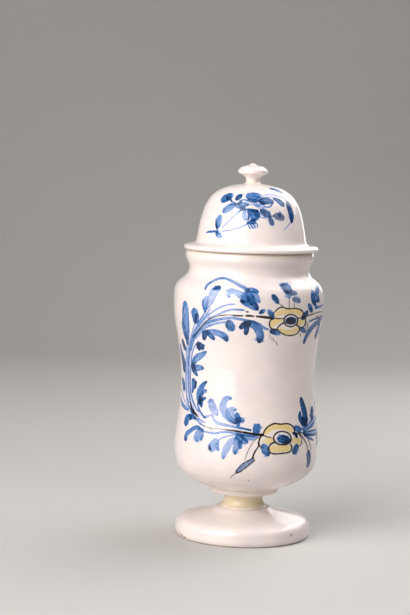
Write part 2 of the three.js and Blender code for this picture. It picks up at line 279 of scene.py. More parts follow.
     ((53.6, 180.7, 1.4, .56), (53.3, 176.2, 1.5, .5))),
    # Right of the top flower
    (COBALT,
     ((78.5, 211.9, 3.2, .6), (68, 208.6, 5.6, .65), (65, 204.8, 7.2, .68), (67.7, 200.6, 4.7, .7)),
     ((60.1, 207.5, 3.7, .8), (58.2, 204.8, 6.9, .85), (58.2, 202, 7.1, .95), (60.4, 198.6, 5, .95),
      (63.2, 195.6, 2.7, .8)),
     ((61.2, 200, 2.7, .75), (67.8, 200.2, 2.3, .65)),
     ((52, 197.5, 3.2, .75), (53.8, 195.4, 4.9, .92), (56.3, 192.5, 3.4, 1)),
     ((61.5, 194.2, 1.8, .6), (67.1, 194.7, 2.3, .6), (74.3, 195, 1.5, .6))),
    (OUTLINE,
     ((50.2, 188.8, 1.2, 1.12), (55.3, 189.4, 1.1, 1.06), (62.9, 190.3, 1, 1.01),
      (74.4, 190.4, .8, .95)),
     ((59.9, 187.5, .98, .95), (67.2, 187.5, 1.1, 1.01), (77.2, 186.8, .58, 1.01))),
    (COBALT,
     ((53.9, 184, 1.3, 1.05), (60.1, 185.3, 1.5, 1), (73.8, 185.8, 1.2, .95)),
     ((74.9, 183.8, 3.2, .85), (66.6, 181.9, 5.1, .9), (59.4, 178.8, 5.4, .88),
      (54.6, 174.7, 5.3, .92), (52, 170.5, 4.3, .9), (50.8, 167.3, 3.4, 1.1)),
     ((73.1, 182.8, 6.9, .85), (72.4, 177.5, 7.8, .95), (69.2, 171.2, 6, 1.1))),
    # Stems at the bottom
    (COBALT,
     ((-30.1, 107.5, 1.7, .45), (-27.9, 104.1, 2.3, .48), (-24.5, 101.6, 3, .48),
      (-19.2, 100.4, 2.8, .48), (-13.3, 99.7, 2.3, .5), (-7.6, 98.9, 2.3, .55), (-2, 98.1, 2, .62),
      (3.2, 97.1, 1.7, .72)),
     ((-6.8, 98.8, .93, .66), (-1.2, 98, 1.1, .72), (3.6, 96.8, 1, .76)),
     ((-36.9, 93.4, 1.7, .5), (-31, 92.8, 1.7, .48), (-26, 92.7, 2, .48), (-20.4, 94.2, 2, .48),
      (-13.8, 94.7, 1.8, .5), (-7.4, 94, 1.8, .55), (-.3, 93.2, 1.8, .6), (6.8, 92.3, 1.7, .62)),
     ((-21.7, 88.3, 1.1, .5), (-17.7, 90.4, 1.3, .48), (-12.9, 92.1, 1.2, .48),
      (-6.6, 93.3, 1.2, .5))),
    (OUTLINE,
     ((-40.7, 98.6, .94, .56), (-35.3, 97.5, 1, .62), (-30.4, 96.6, 1.1, .62),
      (-23.2, 96.7, 1.1, .62), (-16.4, 96.5, 1.2, .78), (-11.5, 96.3, 1.4, 1.06),
      (-5.1, 95.6, 1.6, 1.12), (1.3, 94.8, 1.8, 1.12), (6.8, 93.9, 2, 1.12),
      (12.8, 93.5, 2.2, 1.23)),
     ((-31.9, 96.8, .88, .39), (-29.3, 95.1, .87, .45), (-27.4, 93.7, .76, .39))),
    # Leaves over the bottom stem
    (COBALT,
     ((-32, 118.4, 4, .55), (-30.8, 115.9, 6.8, .51), (-28.9, 112.4, 7, .51),
      (-26.1, 109.6, 5, .51), (-25.1, 108.1, 2.4, .57)),
     ((-14.1, 121.8, 3, .52), (-17, 121.7, 4.2, .48), (-19.6, 118.5, 5.6, .45),
      (-20.1, 113.6, 6.6, .44), (-17.6, 109, 6.5, .46), (-13.6, 105.3, 5.5, .52),
      (-9.4, 102.7, 3.4, .7)),
     ((-9.8, 112.9, 2.6, .55), (-12.7, 112.3, 5.4, .46), (-14.3, 109.6, 7.7, .46),
      (-12, 106.6, 6.7, .46), (-8.6, 104.4, 5, .57)),
     ((-8, 109.4, 3, .68), (-7.5, 106.8, 5.1, .64), (-6.2, 104.1, 4.2, .64)),
     ((-7, 104.9, 5, .64), (-4.6, 105, 4.6, .6), (-2.7, 104.4, 2.3, .64)),
     ((-6.6, 104.1, 3.4, .68), (-6.7, 101.1, 3, .68)),
     ((-13.1, 104, .94, .62), (-9.4, 102.3, 1.3, .76)),
     ((9.2, 100.8, 3.4, .85), (8.2, 98.6, 6.5, .8), (7.9, 96.3, 5.7, .75))),
    # Leaves under the bottom stem
    (COBALT,
     ((-46.5, 102.3, 2.2, .75), (-51.1, 103.1, 3.9, .8), (-55.9, 102.1, 5.3, .78),
      (-58.4, 99.2, 7.3, .75), (-58.4, 95.7, 3.3, .95)),
     ((-54.1, 103.7, 2.9, .95), (-52.7, 101.5, 3.1, 1.05)),
     ((-37.9, 93.7, 2.8, .6), (-43, 95.6, 3.3, .66), (-48, 93.7, 3.6, .66), (-52.7, 90.6, 4.1, .64),
      (-56.2, 87, 4.9, .66), (-56.3, 84.7, 5, .8)),
     ((-38.4, 93.5, 4.9, .55), (-40.2, 90.8, 8.3, .5), (-41.9, 87.9, 7.8, .52),
      (-42.6, 85.6, 3.9, .62)),
     ((-38, 86, 1.8, .55), (-36.9, 89, 3.1, .5)),
     ((-22.4, 86.7, 2.6, .5), (-25.2, 84.5, 7.2, .5), (-26.8, 82.1, 7.9, .52),
      (-28.3, 79.7, 3.6, .6)),
     ((-29.6, 81.9, 1.7, .9), (-29, 79.8, 2.4, 1)),
     ((-23, 83.7, 3.7, .52), (-22, 80.3, 2.8, .6)),
     ((-8.8, 90, 3.4, .46), (-11.8, 87.1, 5.4, .43), (-14.5, 83, 5.9, .46), (-16.2, 79.1, 5.5, .47),
      (-17.2, 75.4, 3.5, .52), (-17.3, 73.3, 1.7, .52)),
     ((-4.9, 92.5, 4.2, .58), (-6, 89, 7.4, .54), (-6.9, 84.2, 5.8, .54), (-8.2, 80.5, 4.6, .58),
      (-8.2, 78.4, 2.6, .67)),
     ((-6.5, 92.2, 4.2, .56), (-3.7, 89.5, 6.6, .54), (-1.3, 88.4, 5.4, .56), (.7, 87.8, 2.6, .67)),
     ((-4.7, 86.7, 4.2, .59), (-4.3, 83.1, 2.6, .71)),
     ((-4.9, 92.5, 1.5, .66), (-2.5, 90.5, 1.7, .7), (-.7, 89, 1.5, .66)),
     ((-2.6, 91.8, 3.4, .63), (2.1, 91, 3.8, .57), (6.8, 91.2, 3.2, .52), (8.8, 92.1, 1.7, .5))),
    # Left bud
    (OUTLINE,
     ((9.6, 91.8, .95, .78), (6.1, 88.6, .95, .67), (3.2, 83.7, .95, .62), (1, 78.5, .95, .62),
      (-.3, 73.2, .87, .56)),
     ((10, 84.6, 1.1, 1.06), (7.9, 81.4, 1.3, 1.06), (6.3, 78.2, 1.4, 1.12),
      (5.5, 74.8, 1.5, 1.12))),
    (COBALT,
     ((5.4, 73.5, 2.7, .5), (2.1, 70.8, 4.5, .44), (-2, 67.3, 5, .44), (-5.5, 63.9, 3.5, .5))),
    (OUTLINE,
     ((4.3, 72.5, 2.5, .32), (-1.7, 67.7, 3.8, .35), (-5.5, 63.8, 2.5, .35)),
     ((6.5, 74.9, .96, 1.06), (2.8, 73, .89, .9), (-1.7, 70, .88, .84), (-5.1, 66.3, .88, .84),
      (-7.2, 63, 1, 1.06)),
     ((7.1, 73.3, 1.1, 1.06), (3.3, 69.3, 1, 1.01), (-.8, 65.7, .99, .95), (-4.7, 62.7, 1.1, 1.01),
      (-6.8, 62, 1.5, 1.06)),
     ((2, 72.2, .63, .56), (3.1, 69.6, .63, .56)),
     ((-.6, 70.3, .63, .56), (.7, 67.4, .64, .56)),
     ((-3.2, 68.3, .63, .56), (-1.9, 65.4, .64, .56)),
     ((-7.1, 61.9, .93, .73), (-9.9, 59.5, .99, .67), (-11.7, 57.3, .75, .56))),
    # Bottom flower
    (YELLOW,
     ((15.5, 95, 2.9, .95), (17.8, 97.7, 4.5, 1), (22.5, 99.6, 4.4, .98), (28.7, 99.5, 4, 1.05),
      (34.8, 98.4, 4.5, 1.05), (39, 95.1, 3.5, 1)),
     ((13.6, 88.2, 3.2, .45), (16.9, 88.6, 4.8, .95), (20.2, 88.9, 3.6, .95)),
     ((20.1, 82.2, 4.4, .98), (24, 82.1, 5.7, 1), (28.8, 82, 5.3, 1), (33.9, 82, 4.9, 1.05),
      (36.6, 82.2, 3.3, .95)),
     ((40.4, 88.9, 2.5, .8), (43.6, 87.2, 6.2, 1.1), (47, 86.3, 3.3, 1.05))),
    (COBALT,
     ((26.4, 90.2, 3.4, .8), (29.3, 89.7, 6.6, .86), (32.9, 88.5, 7, 1.05),
      (35.6, 87.9, 3.8, 1.15)),
     ((28.9, 92.3, 1.5, 1), (33, 90.9, 1.7, 1.05)),
     ((32, 86.8, 2.6, 1.15), (34.8, 87, 2.6, 1.2))),
    (OUTLINE,
     ((29.9, 95.9, 1.2, 1.12), (34.4, 94.5, 1.2, 1.12), (37.6, 91.3, 1.4, 1.12),
      (37.7, 88, 1.6, 1.12), (35, 85.7, 1.3, 1.12), (30.6, 85, 1.2, 1.12), (26.2, 85.7, 1.3, 1.12),
      (23.1, 87.8, 1.5, 1.12), (21.9, 90.8, 1.3, 1.12), (23.4, 93.8, 1.3, 1.12),
      (26.4, 95.5, 1.2, 1.12), (29.9, 95.9, 1.2, 1.12)),
     ((13.4, 93.2, 1.2, 1.12), (14, 95.8, 1.2, 1.12), (15.9, 98.7, 1.2, 1.12),
      (19.1, 101, 1.3, 1.12), (23.4, 102.3, 1.3, 1.12), (27.9, 101.7, 1.2, 1.12),
      (32.6, 101.8, 1.2, 1.12), (37, 101.1, 1.2, 1.12), (40.4, 98.9, 1.4, 1.12),
      (41.9, 96.2, 1.6, 1.12), (41.6, 93.5, 1.4, 1.12)),
     ((12.4, 93.2, 1.6, 1.18), (10.6, 90.8, 1.4, 1.12), (10, 88.1, 1.4, 1.12),
      (10, 85.6, 1.7, 1.18), (11.6, 83.8, .94, 1.01), (13.5, 83, .78, .9)),
     ((13.2, 93.2, 1, 1.06), (16.5, 92, .94, 1.01), (19.8, 91.2, .79, .9)),
     ((17.9, 81.8, 1.3, 1.12), (18.4, 84.6, 1.3, 1.12), (20.3, 86.4, 1.5, 1.18),
      (23.1, 87.6, 1.3, 1.12)),
     ((17.9, 81.8, 1.2, 1.12), (19.1, 79.4, 1.2, 1.12), (22, 78.2, 1.2, 1.12),
      (26.3, 78, 1.2, 1.12), (31.1, 78.2, 1.2, 1.12), (35.2, 78.6, 1.3, 1.12),
      (37.8, 80, 1.5, 1.12), (38.4, 82.7, 1.5, 1.12), (37.3, 85, 1.3, 1.12)),
     ((46.4, 92.3, 1, .9), (49, 89.6, 1.3, .9), (49.5, 86.4, 1.5, .9), (47.8, 83.4, 1.3, .84),
      (44.7, 82.1, 1, .9))),
    (COBALT,
     ((13.7, 84.4, 4.2, .7), (15, 82, 6.7, .72), (16.2, 79.4, 5.4, .8), (17.5, 77.6, 3, .9)),
     ((43.5, 82.4, 5.2, .85), (42.2, 80.4, 6.2, .95), (40.7, 77.9, 3.4, 1)),
     ((43.2, 98.2, 3.3, .75), (45.7, 96.5, 5.4, .8), (48.6, 95.5, 2.7, .8)),
     ((40.7, 93.6, 2.3, 1.1), (43.3, 92.2, 3.4, 1.2), (43.8, 90.8, 2.9, 1.2))),
    (OUTLINE,
     ((43.3, 92.1, 2.2, .67), (46.8, 93.4, 1.3, 1.01), (50.5, 93.1, 1, .9))),
    # Right of the bottom flower
    (COBALT,
     ((51.6, 120.3, 3.6, .95), (53.4, 116.1, 5.9, .9), (55.5, 111, 7.1, .85), (56.4, 106, 7.7, .9),
      (55.6, 102, 8.1, 1.1), (55.5, 99.3, 4.6, 1)),
     ((49.7, 109.5, 2.5, .9), (49.2, 106.3, 4.5, .95), (50.6, 102.5, 4.5, .95), (52, 99.6, 3.2, 1)),
     ((71.8, 110.3, 4.9, .9), (69.8, 106.8, 7.8, 1), (68.4, 102.9, 4.9, 1)),
     ((52.1, 95.5, 2.8, .4), (59.9, 97, 4.8, .42), (70.9, 99.3, 6.5, .4), (79.6, 102.2, 4, .38)),
     ((53.1, 92.3, 2.6, .42), (60.7, 91.4, 4.7, .45), (74.2, 90.6, 3.7, .45)),
     ((50.2, 96.1, 1.2, .55), (54.7, 99.3, 1.5, .5), (61, 103, 1.6, .5)),
     ((51.4, 95.4, 1.3, .65), (59.3, 98.3, 1.7, .62), (68.7, 102.5, 1.9, .6)),
     ((52.6, 94.2, 1.3, .75), (61, 95.8, 1.7, .7), (73.3, 99.4, 2, .65)),
     ((51.9, 93.3, 1.2, .85), (61.8, 93, 1.7, .78), (79, 92.5, 1, .75)),
     ((51.8, 92.2, 1.4, .9), (60.5, 90.2, 2, .78), (76.5, 88.5, 1.3, .75)),
     ((53, 90.7, 1.4, .9), (58.7, 88.2, 2.3, .8), (67.2, 85, 1.7, .95)),
     ((77.8, 90, 4.8, .85), (79.4, 84.8, 5.6, .9), (79.3, 80.2, 4.1, .9))),
    (OUTLINE,
     ((46.8, 93.2, 1.3, 1.01), (51.5, 88.7, 1.3, .95), (55.7, 83.3, 1.5, .9),
      (58.1, 77.2, 1.7, .84)),
     ((50.5, 92.8, 1.1, .9), (55.7, 89.8, 1.2, .84), (59.9, 84.8, 1.5, .78),
      (62.8, 78.2, 1.6, .67))),
    (COBALT,
     ((58.4, 76.5, 4, .9), (59.4, 72.9, 6.7, .72), (60.5, 69.4, 6.6, .68), (60.5, 64.6, 3.8, .8))),
    (OUTLINE,
     ((58.4, 76.3, 3.7, .58), (59.9, 71.1, 5.9, .54), (60.6, 65.1, 3.4, .58))),
    # Specks of iron in the glaze
    (OUTLINE,
     ((3.1, 55.8, 1, .9), (3.7, 55.5, 1, .9))),
    # The stalks carried on to the side turned over
    (COBALT,
     ((73.2, 194.9, 1.4, .58), (77.8, 195.7, 1.5, .54), (82.8, 195.5, 1.6, .5)),
     ((77.4, 192.6, .8, .46), (80, 192, 1.3, .5), (82.8, 190.8, 1.7, .51))),
    (OUTLINE,
     ((73.8, 190.4, .8, .95), (78.6, 189.9, .8, .95), (82.8, 188.7, 1.05, .95))),
    (COBALT,
     ((72.8, 185.8, 1.2, .85), (77.6, 186.4, 1.8, .66), (82.8, 186, 2.3, .6)),
     ((76.8, 183.8, .8, .64), (79.6, 183.6, 1.2, .6), (82.8, 182.9, 1.6, .58)),
     ((78, 101.6, 3, .4), (80.4, 101.2, 3, .44), (83.2, 100.6, 2.8, .48)),
     ((77.6, 92.5, 1, .7), (80.2, 93.2, 1.4, .6), (83, 94.1, 2, .5))),
    (OUTLINE,
     ((77.8, 96.2, .5, .6), (80.2, 96.4, .8, .62), (83, 96.7, 1.1, .62))),
)

SPRAY = (
    # Leaves at the left of the spray
    (COBALT,
     ((-36, 283.8, 4.5, .8), (-36.8, 282.5, 8.9, .78), (-39.8, 281.2, 8.3, .78),
      (-42.9, 280.9, 4.6, .76)),
     ((-36.7, 281.9, 2.8, .9), (-33.6, 280.4, 2.7, .92)),
     ((-32.6, 282, 2, .8), (-30, 280.5, 1.8, .85), (-27.8, 279.1, 1.4, .95)),
     ((-18, 284.2, 3.1, 1), (-19.4, 282.6, 5.2, 1), (-20.6, 281.3, 3.9, 1.05)),
     ((-18.2, 284.5, 1.1, .6), (-13, 284.8, 1, .4)),
     ((-27.2, 279.1, 1.1, .65), (-21.2, 277.6, 1.3, .7)),
     ((-34.5, 271.1, 3.7, .76), (-31.3, 272.7, 6.3, .7), (-27.2, 274.6, 6.2, .72),
      (-23.4, 276.3, 3.1, .8)),
     ((-19.6, 276.7, 3.3, .76), (-15.3, 276.2, 6.4, .72), (-11, 276.5, 5.6, .76),
      (-5.4, 277, 2, .86)),
     ((-14.9, 279.2, 1.9, .85), (-17, 277.6, 3, .9)),
     ((-16.4, 279.8, 1.5, .7), (-12, 280.7, 1.6, .72), (-6.1, 280.1, 1.5, .75)),
     ((-13.6, 274.5, 2.7, .76), (-9.9, 274, 2.2, .82))),
    # Flower of the spray
    (COBALT,
     ((-6, 282.8, 3.8, .71), (-2.3, 283.9, 7.8, .67), (2.7, 284.1, 7.9, .67), (7, 283.4, 4.4, .72)),
     ((-4.6, 280.6, 2.9, .88), (0, 280.2, 3.8, .92), (5.7, 280.5, 2.9, .84)),
     ((6.8, 286.1, 1.9, .5), (11.6, 285.1, 1.7, .48), (12.6, 283, 1.3, .48), (9.1, 281.2, 1.1, .5)),
     ((9, 282.8, 2.2, .36), (8, 280.8, 2.2, .4)),
     ((-8.2, 278.6, 2.8, .3), (-1.8, 277.9, 3.8, .3), (4.5, 278.6, 2.9, .32)),
     ((2.6, 277.1, 2, .42), (6.4, 276.6, 3.2, .52), (9.5, 277.2, 1.4, .5)),
     ((12, 276.6, 2.2, .3), (8.1, 274.7, 2.7, .34), (13, 274.4, 2.3, .4))),
    (YELLOW,
     ((-6.5, 275.6, 2.3, .3), (-1.6, 275.9, 3.1, .35), (3.9, 275, 2.1, .3))),
    (COBALT,
     ((-13.8, 272.3, 1.4, .76), (-7.4, 273.2, 1.6, .84), (-.3, 273.1, 1.9, .84),
      (5.6, 272.1, 2.4, .84)),
     ((-7.7, 271.1, 4.2, .36), (-7.3, 267.1, 4.6, .38)),
     ((-9.8, 271.6, 1.3, .5), (-11.3, 269, 1.4, .46), (-10, 266.2, 1.3, .46),
      (-6.7, 264.6, 1.3, .5), (-3.7, 265.6, 1.4, .67)),
     ((-7.2, 271.9, .87, .55), (-8.3, 269.1, .86, .5), (-6.9, 266.3, .85, .5)),
     ((-3.3, 271.6, 3.5, .77), (.8, 270.8, 6, .74), (2.2, 268.1, 6.2, .71), (1.5, 265.7, 4.2, .72)),
     ((-3.5, 269.6, 1.7, .8), (-3.5, 265.9, 1.5, .88)),
     ((5.4, 272.3, 2.7, .84), (7.3, 269.4, 2.9, .84), (6.2, 266.6, 2.6, .77),
      (2.9, 264.5, 2.2, .76)),
     ((-1.9, 271.6, 1.1, .88), (2.7, 270.9, 1.1, .84), (3.9, 268.1, 1, .84)),
     ((-4.2, 262.6, 2.5, .8), (-.6, 263.3, 3.6, .84), (3.5, 262.6, 2, .69)),
     ((-.8, 261.3, 2.6, .32), (1.9, 259.9, 4.2, .34)),
     ((-4.3, 262, .93, .67), (-3.5, 260, .93, .63), (-1.4, 258.1, 1.1, .71)),
     ((-1.6, 261.4, .85, .59), (-.2, 259.9, .86, .59), (1.4, 258.4, .94, .67)),
     ((1.1, 261.7, .86, .59), (2.4, 260.2, .86, .59), (4.2, 259, .94, .67)),
     ((4.3, 263, .86, .63), (6.3, 261, .94, .63), (6.1, 259.4, .94, .63))),
    # Leaves at the right of the spray
    (COBALT,
     ((9.5, 279.6, 2.7, 1.05), (13.9, 280.1, 6, 1.02), (20.2, 280.5, 6.6, .88),
      (25.3, 279.8, 4.8, .8)),
     ((10.9, 278.1, 1.5, 1.05), (14.7, 277.4, 1.7, 1)),
     ((26.2, 278.7, 1.2, .72), (23.9, 276.5, 1.2, .68), (18.7, 275.3, 1.3, .64),
      (14.4, 275.7, 1.2, .62)),
     ((11.9, 283, 1, .45), (20.4, 284.9, 1.4, .46), (30.7, 285.1, 1.8, .46),
      (41.8, 283.8, 1.7, .46), (50.6, 281.6, 1.6, .5), (53.5, 279.3, 1.6, .6)),
     ((16, 282.5, 1.2, .5), (24, 283.4, 1.4, .45), (32.9, 282.6, 1.3, .5)),
     ((30.8, 281.9, 2.2, .9), (35.5, 280.8, 4.9, .9), (39.7, 278.8, 5.5, .92),
      (41.7, 277.3, 3.7, 1.05)),
     ((45, 289.7, 5.6, .85), (50.9, 289.1, 8.1, .8), (54.7, 288.1, 5.5, .8), (54.9, 287, 3.2, .8)),
     ((52.8, 279.1, 3.2, .95), (52, 276.3, 5.9, .95), (52.3, 272.4, 7.2, .95),
      (52.1, 268.4, 6.4, 1), (50.7, 265.2, 4.1, 1.05), (49.6, 263.4, 2, 1)),
     ((47.1, 262.6, 1.1, .55), (42.5, 260.1, 1, .5), (37.1, 257.4, .82, .42)),
     ((11, 272.4, 3.1, .74), (14.4, 271, 6.3, .66), (18.5, 269.2, 5.2, .64),
      (21.2, 268.4, 2.3, .64))),
    (OUTLINE,
     ((12.1, 271.8, 4.3, .54), (18.5, 269.1, 4.7, .54))),
    (COBALT,
     ((8.5, 267.7, .97, .5), (11.3, 267, 1.1, .5), (14.7, 266.7, .97, .5)),
     ((20.9, 266, 3.4, .56), (21.9, 264, 5.1, .54), (22.8, 262.2, 3.9, .56))),
    (OUTLINE,
     ((21.3, 265.6, 3.9, .54), (22.6, 262.8, 3.9, .56))),
    (COBALT,
     ((20.8, 268, 1, .6), (25.5, 268.4, 1.3, .6)),
     ((26.2, 268.4, 2.4, .5), (30.3, 268.1, 5.6, .48), (34.8, 267.4, 6.1, .48),
      (37.9, 266.6, 3.2, .5)),
     ((34.4, 271.1, 2.4, .5), (33.9, 269.2, 4.1, .48))),
    (OUTLINE,
     ((27.4, 268.4, 3.9, .53), (30.9, 268.2, 6, .54), (35.6, 267.5, 6.2, .54))),
    # Stalks and their end leaves
    (COBALT,
     ((-9.8, 273.8, 2.4, .8), (-13.8, 272, 1.9, .78), (-18.6, 269, 1.4, .68),
      (-24.4, 264.9, 1.2, .6), (-29.2, 260.9, 1.2, .56), (-33.3, 258.1, 1.2, .5)),
     ((-5.2, 261.6, 1.1, .66), (-9.4, 259.9, 1.1, .62), (-14.7, 258, 1.1, .6),
      (-21.2, 256.5, 1.1, .56), (-28.1, 255.5, 1.1, .54), (-33.8, 254.9, 1, .45)),
     ((-38.4, 266.6, 2.9, .6), (-39.4, 264.1, 6.1, .58), (-39.6, 261.3, 6.6, .6),
      (-40.1, 258.9, 4, .85), (-40.2, 257, 1.8, 1)),
     ((-43.6, 263.2, 1.5, .8), (-42.6, 260.4, 1.8, .85), (-40.6, 257.6, 1.7, 1)),
     ((-56.3, 252.9, 1.3, .6), (-50.8, 253.8, 1.8, .8), (-44.5, 254.3, 1.9, .85),
      (-41, 254.8, 1.3, .8)),
     ((-39.6, 256.5, 1.3, .6), (-38.8, 254.5, 2.3, .5)),
     ((-37.4, 254.5, 3, .36), (-35.7, 253, 2.9, .36)),
     ((-40.1, 253.8, 2.5, .85), (-38.6, 252.5, 3.9, .75), (-35.6, 251.2, 3.8, .52),
      (-33.1, 250.5, 2.3, .5))),
)

# The wreath is alike on both sides of its bare panel: from HIDDEN_SIDE on, which the camera can't
# see, it is the left side turned over about the panel's middle. Both are degrees round.
PANEL_MIDDLE = 31
HIDDEN_SIDE = 82

# Where paint goes on the body and on the dome, as heights in mm
WREATH_BETWEEN = (48, 226)
SPRAY_BETWEEN = (247.5, 292.2)

# How far the potter's centre wandered off the axis, as height and distance to the right in mm
JAR_LEAN = ((0, -0.6), (10, -0.1), (24, 0.35), (36, 0.1), (48, 0.4), (62, 0.75), (90, 1.0),
            (130, 0.8), (160, 0.2), (175, -0.2), (190, -0.45), (215, -0.55), (245, -0.55))
LID_LEAN = ((228, 0.25), (290, 0.25), (302, -0.1), (310, -0.3))


def linear(hex_colour):
    """The linear values of an sRGB hex colour."""
    values = [int(hex_colour[i:i + 2], 16) / 255 for i in (1, 3, 5)]
    return [v / 12.92 if v <= 0.04045 else ((v + 0.055) / 1.055) ** 2.4 for v in values]


def colour(name, hex_colour, description):
    """A colour setting, given in sRGB."""
    return bpy.props.FloatVectorProperty(
        name=name, description=description, subtype="COLOR", size=3, min=0, max=1,
        default=linear(hex_colour))


def length(name, mm, description):
    """A length setting, given in mm."""
    return bpy.props.FloatProperty(
        name=name, description=description, default=mm * MM, unit="LENGTH", precision=5)


def angle(name, degrees, description):
    """An angle setting, given in degrees."""
    return bpy.props.FloatProperty(
        name=name, description=description, default=math.radians(degrees), subtype="ANGLE")


def power(name, watts, description):
    """A light's power setting."""
    return bpy.props.FloatProperty(
        name=name, description=description, default=watts, unit="POWER")


class ThrowingSettings(bpy.types.PropertyGroup):
    """How the pieces were thrown and turned."""
    columns: bpy.props.IntProperty(
        name="Columns", description="Faces round each piece", default=160, min=32)
    row: length("Row", 1.5, "Height of a face on the walls")
    rounding: length("Rounding", 0.45, "Radius that the glaze gives a turned edge")
    wobble: length("Wobble", 0.22, "How far a wall strays from round")
    ring_depth: length("Ring depth", 0.06, "Depth of the rings that the fingers left")
    ring_pitch: length("Ring pitch", 6.5, "Climb of the rings in one turn")
    chip_depth: length("Chip depth", 0.9, "Depth of the chips at the foot's edge")


class BrushSettings(bpy.types.PropertyGroup):
    """How the painter's colours took to the raw glaze."""
    feather: length("Feather", 0.55, "Width over which a stroke's edge fades into the glaze")
    hair: length("Hair", 0.75, "Distance between the streaks that the hairs leave")
    seed: bpy.props.IntProperty(name="Seed", description="Draw of the streaks", default=11)


class GlazeSettings(bpy.types.PropertyGroup):
    """Colours of the glaze, the clay and the paint."""
    white: colour("White", "#EFE4E1", "Tin glaze where it is thick")
    grey: colour("Grey white", "#E6DCDB", "Tin glaze where it is thin")
    cream: colour("Cream", "#EBDDB8", "Glaze that turned yellow over the stem")
    biscuit: colour("Biscuit", "#B99A80", "Bare fired clay")
    iron: colour("Iron", "#5F4028", "Specks of iron in the clay")
    wash: colour("Cobalt wash", "#B3BBDA", "Thinnest cobalt")
    pale: colour("Pale cobalt", "#829BCD", "Thin cobalt")
    middle: colour("Cobalt", "#4475B2", "Cobalt of the leaves")
    dark: colour("Dark cobalt", "#204B80", "Cobalt where the brush was lifted")
    deepest: colour("Deepest cobalt", "#122B4C", "Cobalt laid twice")
    yellow: colour("Yellow", "#E9D08A", "Antimony yellow of the petals")
    outline: colour("Outline", "#241D1C", "Manganese of the outlines and the stems")


class CameraSettings(bpy.types.PropertyGroup):
    """Where the picture is taken from."""
    distance: length("Distance", 1450, "Distance in front of the jar's axis")
    left: length("Left", 0.8, "Distance to the left of the jar's axis")
    height: length("Height", 322.4, "Height over the table")
    lens: bpy.props.FloatProperty(
        name="Lens", description="Focal length in mm on a 36 mm frame", default=102.67)
    yaw: angle("Yaw", 1.408, "Turn to the left")
    pitch: angle("Pitch", 5.237, "Tilt down")
    roll: angle("Roll", 1.601, "Roll of the camera")


class StudioSettings(bpy.types.PropertyGroup):
    """The table, the backdrop and the lights."""
    paper: colour("Paper", "#C2C0BE", "Pale paper under and behind the jar")
    key: power("Key light", 16.0, "Big soft light from the left")
    front: power("Front light", 17.0, "Soft light left of the camera")
    over: power("Over light", 7.3, "Soft light high at the left")
    card: power("Card", 1.6, "Panel mirrored in the glaze at the left")
    fill: power("Fill", 0.5, "Small light over the lid at the right")
    top: power("Top light", 10.5, "Soft light high behind at the right")
    edge: power("Edge light", 6.0, "Panel behind the jar at the right")
    low: power("Low panel", 1.1, "Panel mirrored in the glaze at the right")
    sky: bpy.props.FloatProperty(
        name="Room", description="Light from the room all round", default=0.05)


def node(tree, kind, inputs=None, **settings):
    """Add one node with its settings; its inputs take values, sockets or a node's first output."""
    made = tree.nodes.new(kind)
    for key, value in settings.items():
        setattr(made, key, value)
    for key, value in (inputs or {}).items():
        if isinstance(value, bpy.types.Node):
            value = value.outputs[0]
        if isinstance(value, bpy.types.NodeSocket):
            tree.links.new(value, made.inputs[key])
        else:
            made.inputs[key].default_value = value
    return made


def placed(name, data):
    """A new object in the scene, at the origin."""
    made = bpy.data.objects.new(name, data)
    bpy.context.scene.collection.objects.link(made)
    return made


# Vertices of a CAD node nearer than this are one, in metres
SAME = 1e-6


def node_outline(name):
    """The outline of a turned CAD node in mm, run so that the clay lies on its left.

    It is the walk along the vertices that lie in the plane y = 0, on the side of positive x.
    """
    mesh = bmesh.new()
    mesh.from_mesh(frame["nodes"][name].data)
    bmesh.ops.remove_doubles(mesh, verts=mesh.verts, dist=SAME)
    on_plane = [v for v in mesh.verts if abs(v.co.y) < 2 * SAME and v.co.x > -2 * SAME]
    near = {v: [e.other_vert(v) for e in v.link_edges] for v in on_plane}
    near = {v: [w for w in others if w in near] for v, others in near.items()}
    ends = [v for v in on_plane if len(near[v]) == 1]
    start = min(ends or on_plane, key=lambda v: (v.co.z, v.co.x))
    walk = [start]
    while True:
        following = [w for w in near[walk[-1]] if w not in walk]
        if not following:
            break
        walk.append(following[0])
    points = np.array([(v.co.x / MM, v.co.z / MM) for v in walk])
    mesh.free()
    if not ends:
        points = np.vstack([points, points[:1]])
    x, z = points.T
    if np.sum(x[:-1] * z[1:] - x[1:] * z[:-1]) < 0:
        points = points[::-1]
    return points


def smooth_run(points, spacing, first=None, last=None):
    """Points along a cubic curve through points, with the directions it starts and ends in."""
    points = np.array(points, float)
    gaps = np.linalg.norm(np.diff(points[:, :2], axis=0), axis=1)
    count = len(points)
    system, known = np.zeros((count, count)), np.zeros(points.shape)
    for i in range(1, count - 1):
        system[i, i - 1:i + 2] = gaps[i], 2 * (gaps[i - 1] + gaps[i]), gaps[i - 1]
        known[i] = 3 * (gaps[i] * (points[i] - points[i - 1]) / gaps[i - 1]
                        + gaps[i - 1] * (points[i + 1] - points[i]) / gaps[i])
    for row, beside, fixed, step in ((0, 1, first, 0), (count - 1, count - 2, last, -1)):
        if fixed is None:
            system[row, row], system[row, beside] = 2, 1
            chord = (points[1] - points[0]) if row == 0 else (points[-1] - points[-2])
            known[row] = 3 * chord / gaps[step]
        else:
            system[row, row] = 1
            known[row, :2] = fixed
    slopes = np.linalg.solve(system, known)
    pieces = []
    for i, gap in enumerate(gaps):
        t = np.linspace(0, 1, max(2, math.ceil(gap / spacing) + 1))[:-1, None]
        pieces.append((2 * t ** 3 - 3 * t ** 2 + 1) * points[i]
                      + (3 * t ** 2 - 2 * t ** 3) * points[i + 1]
                      + gap * ((t ** 3 - 2 * t ** 2 + t) * slopes[i]
                               + (t ** 3 - t ** 2) * slopes[i + 1]))
    return np.vstack(pieces + [points[-1:]])


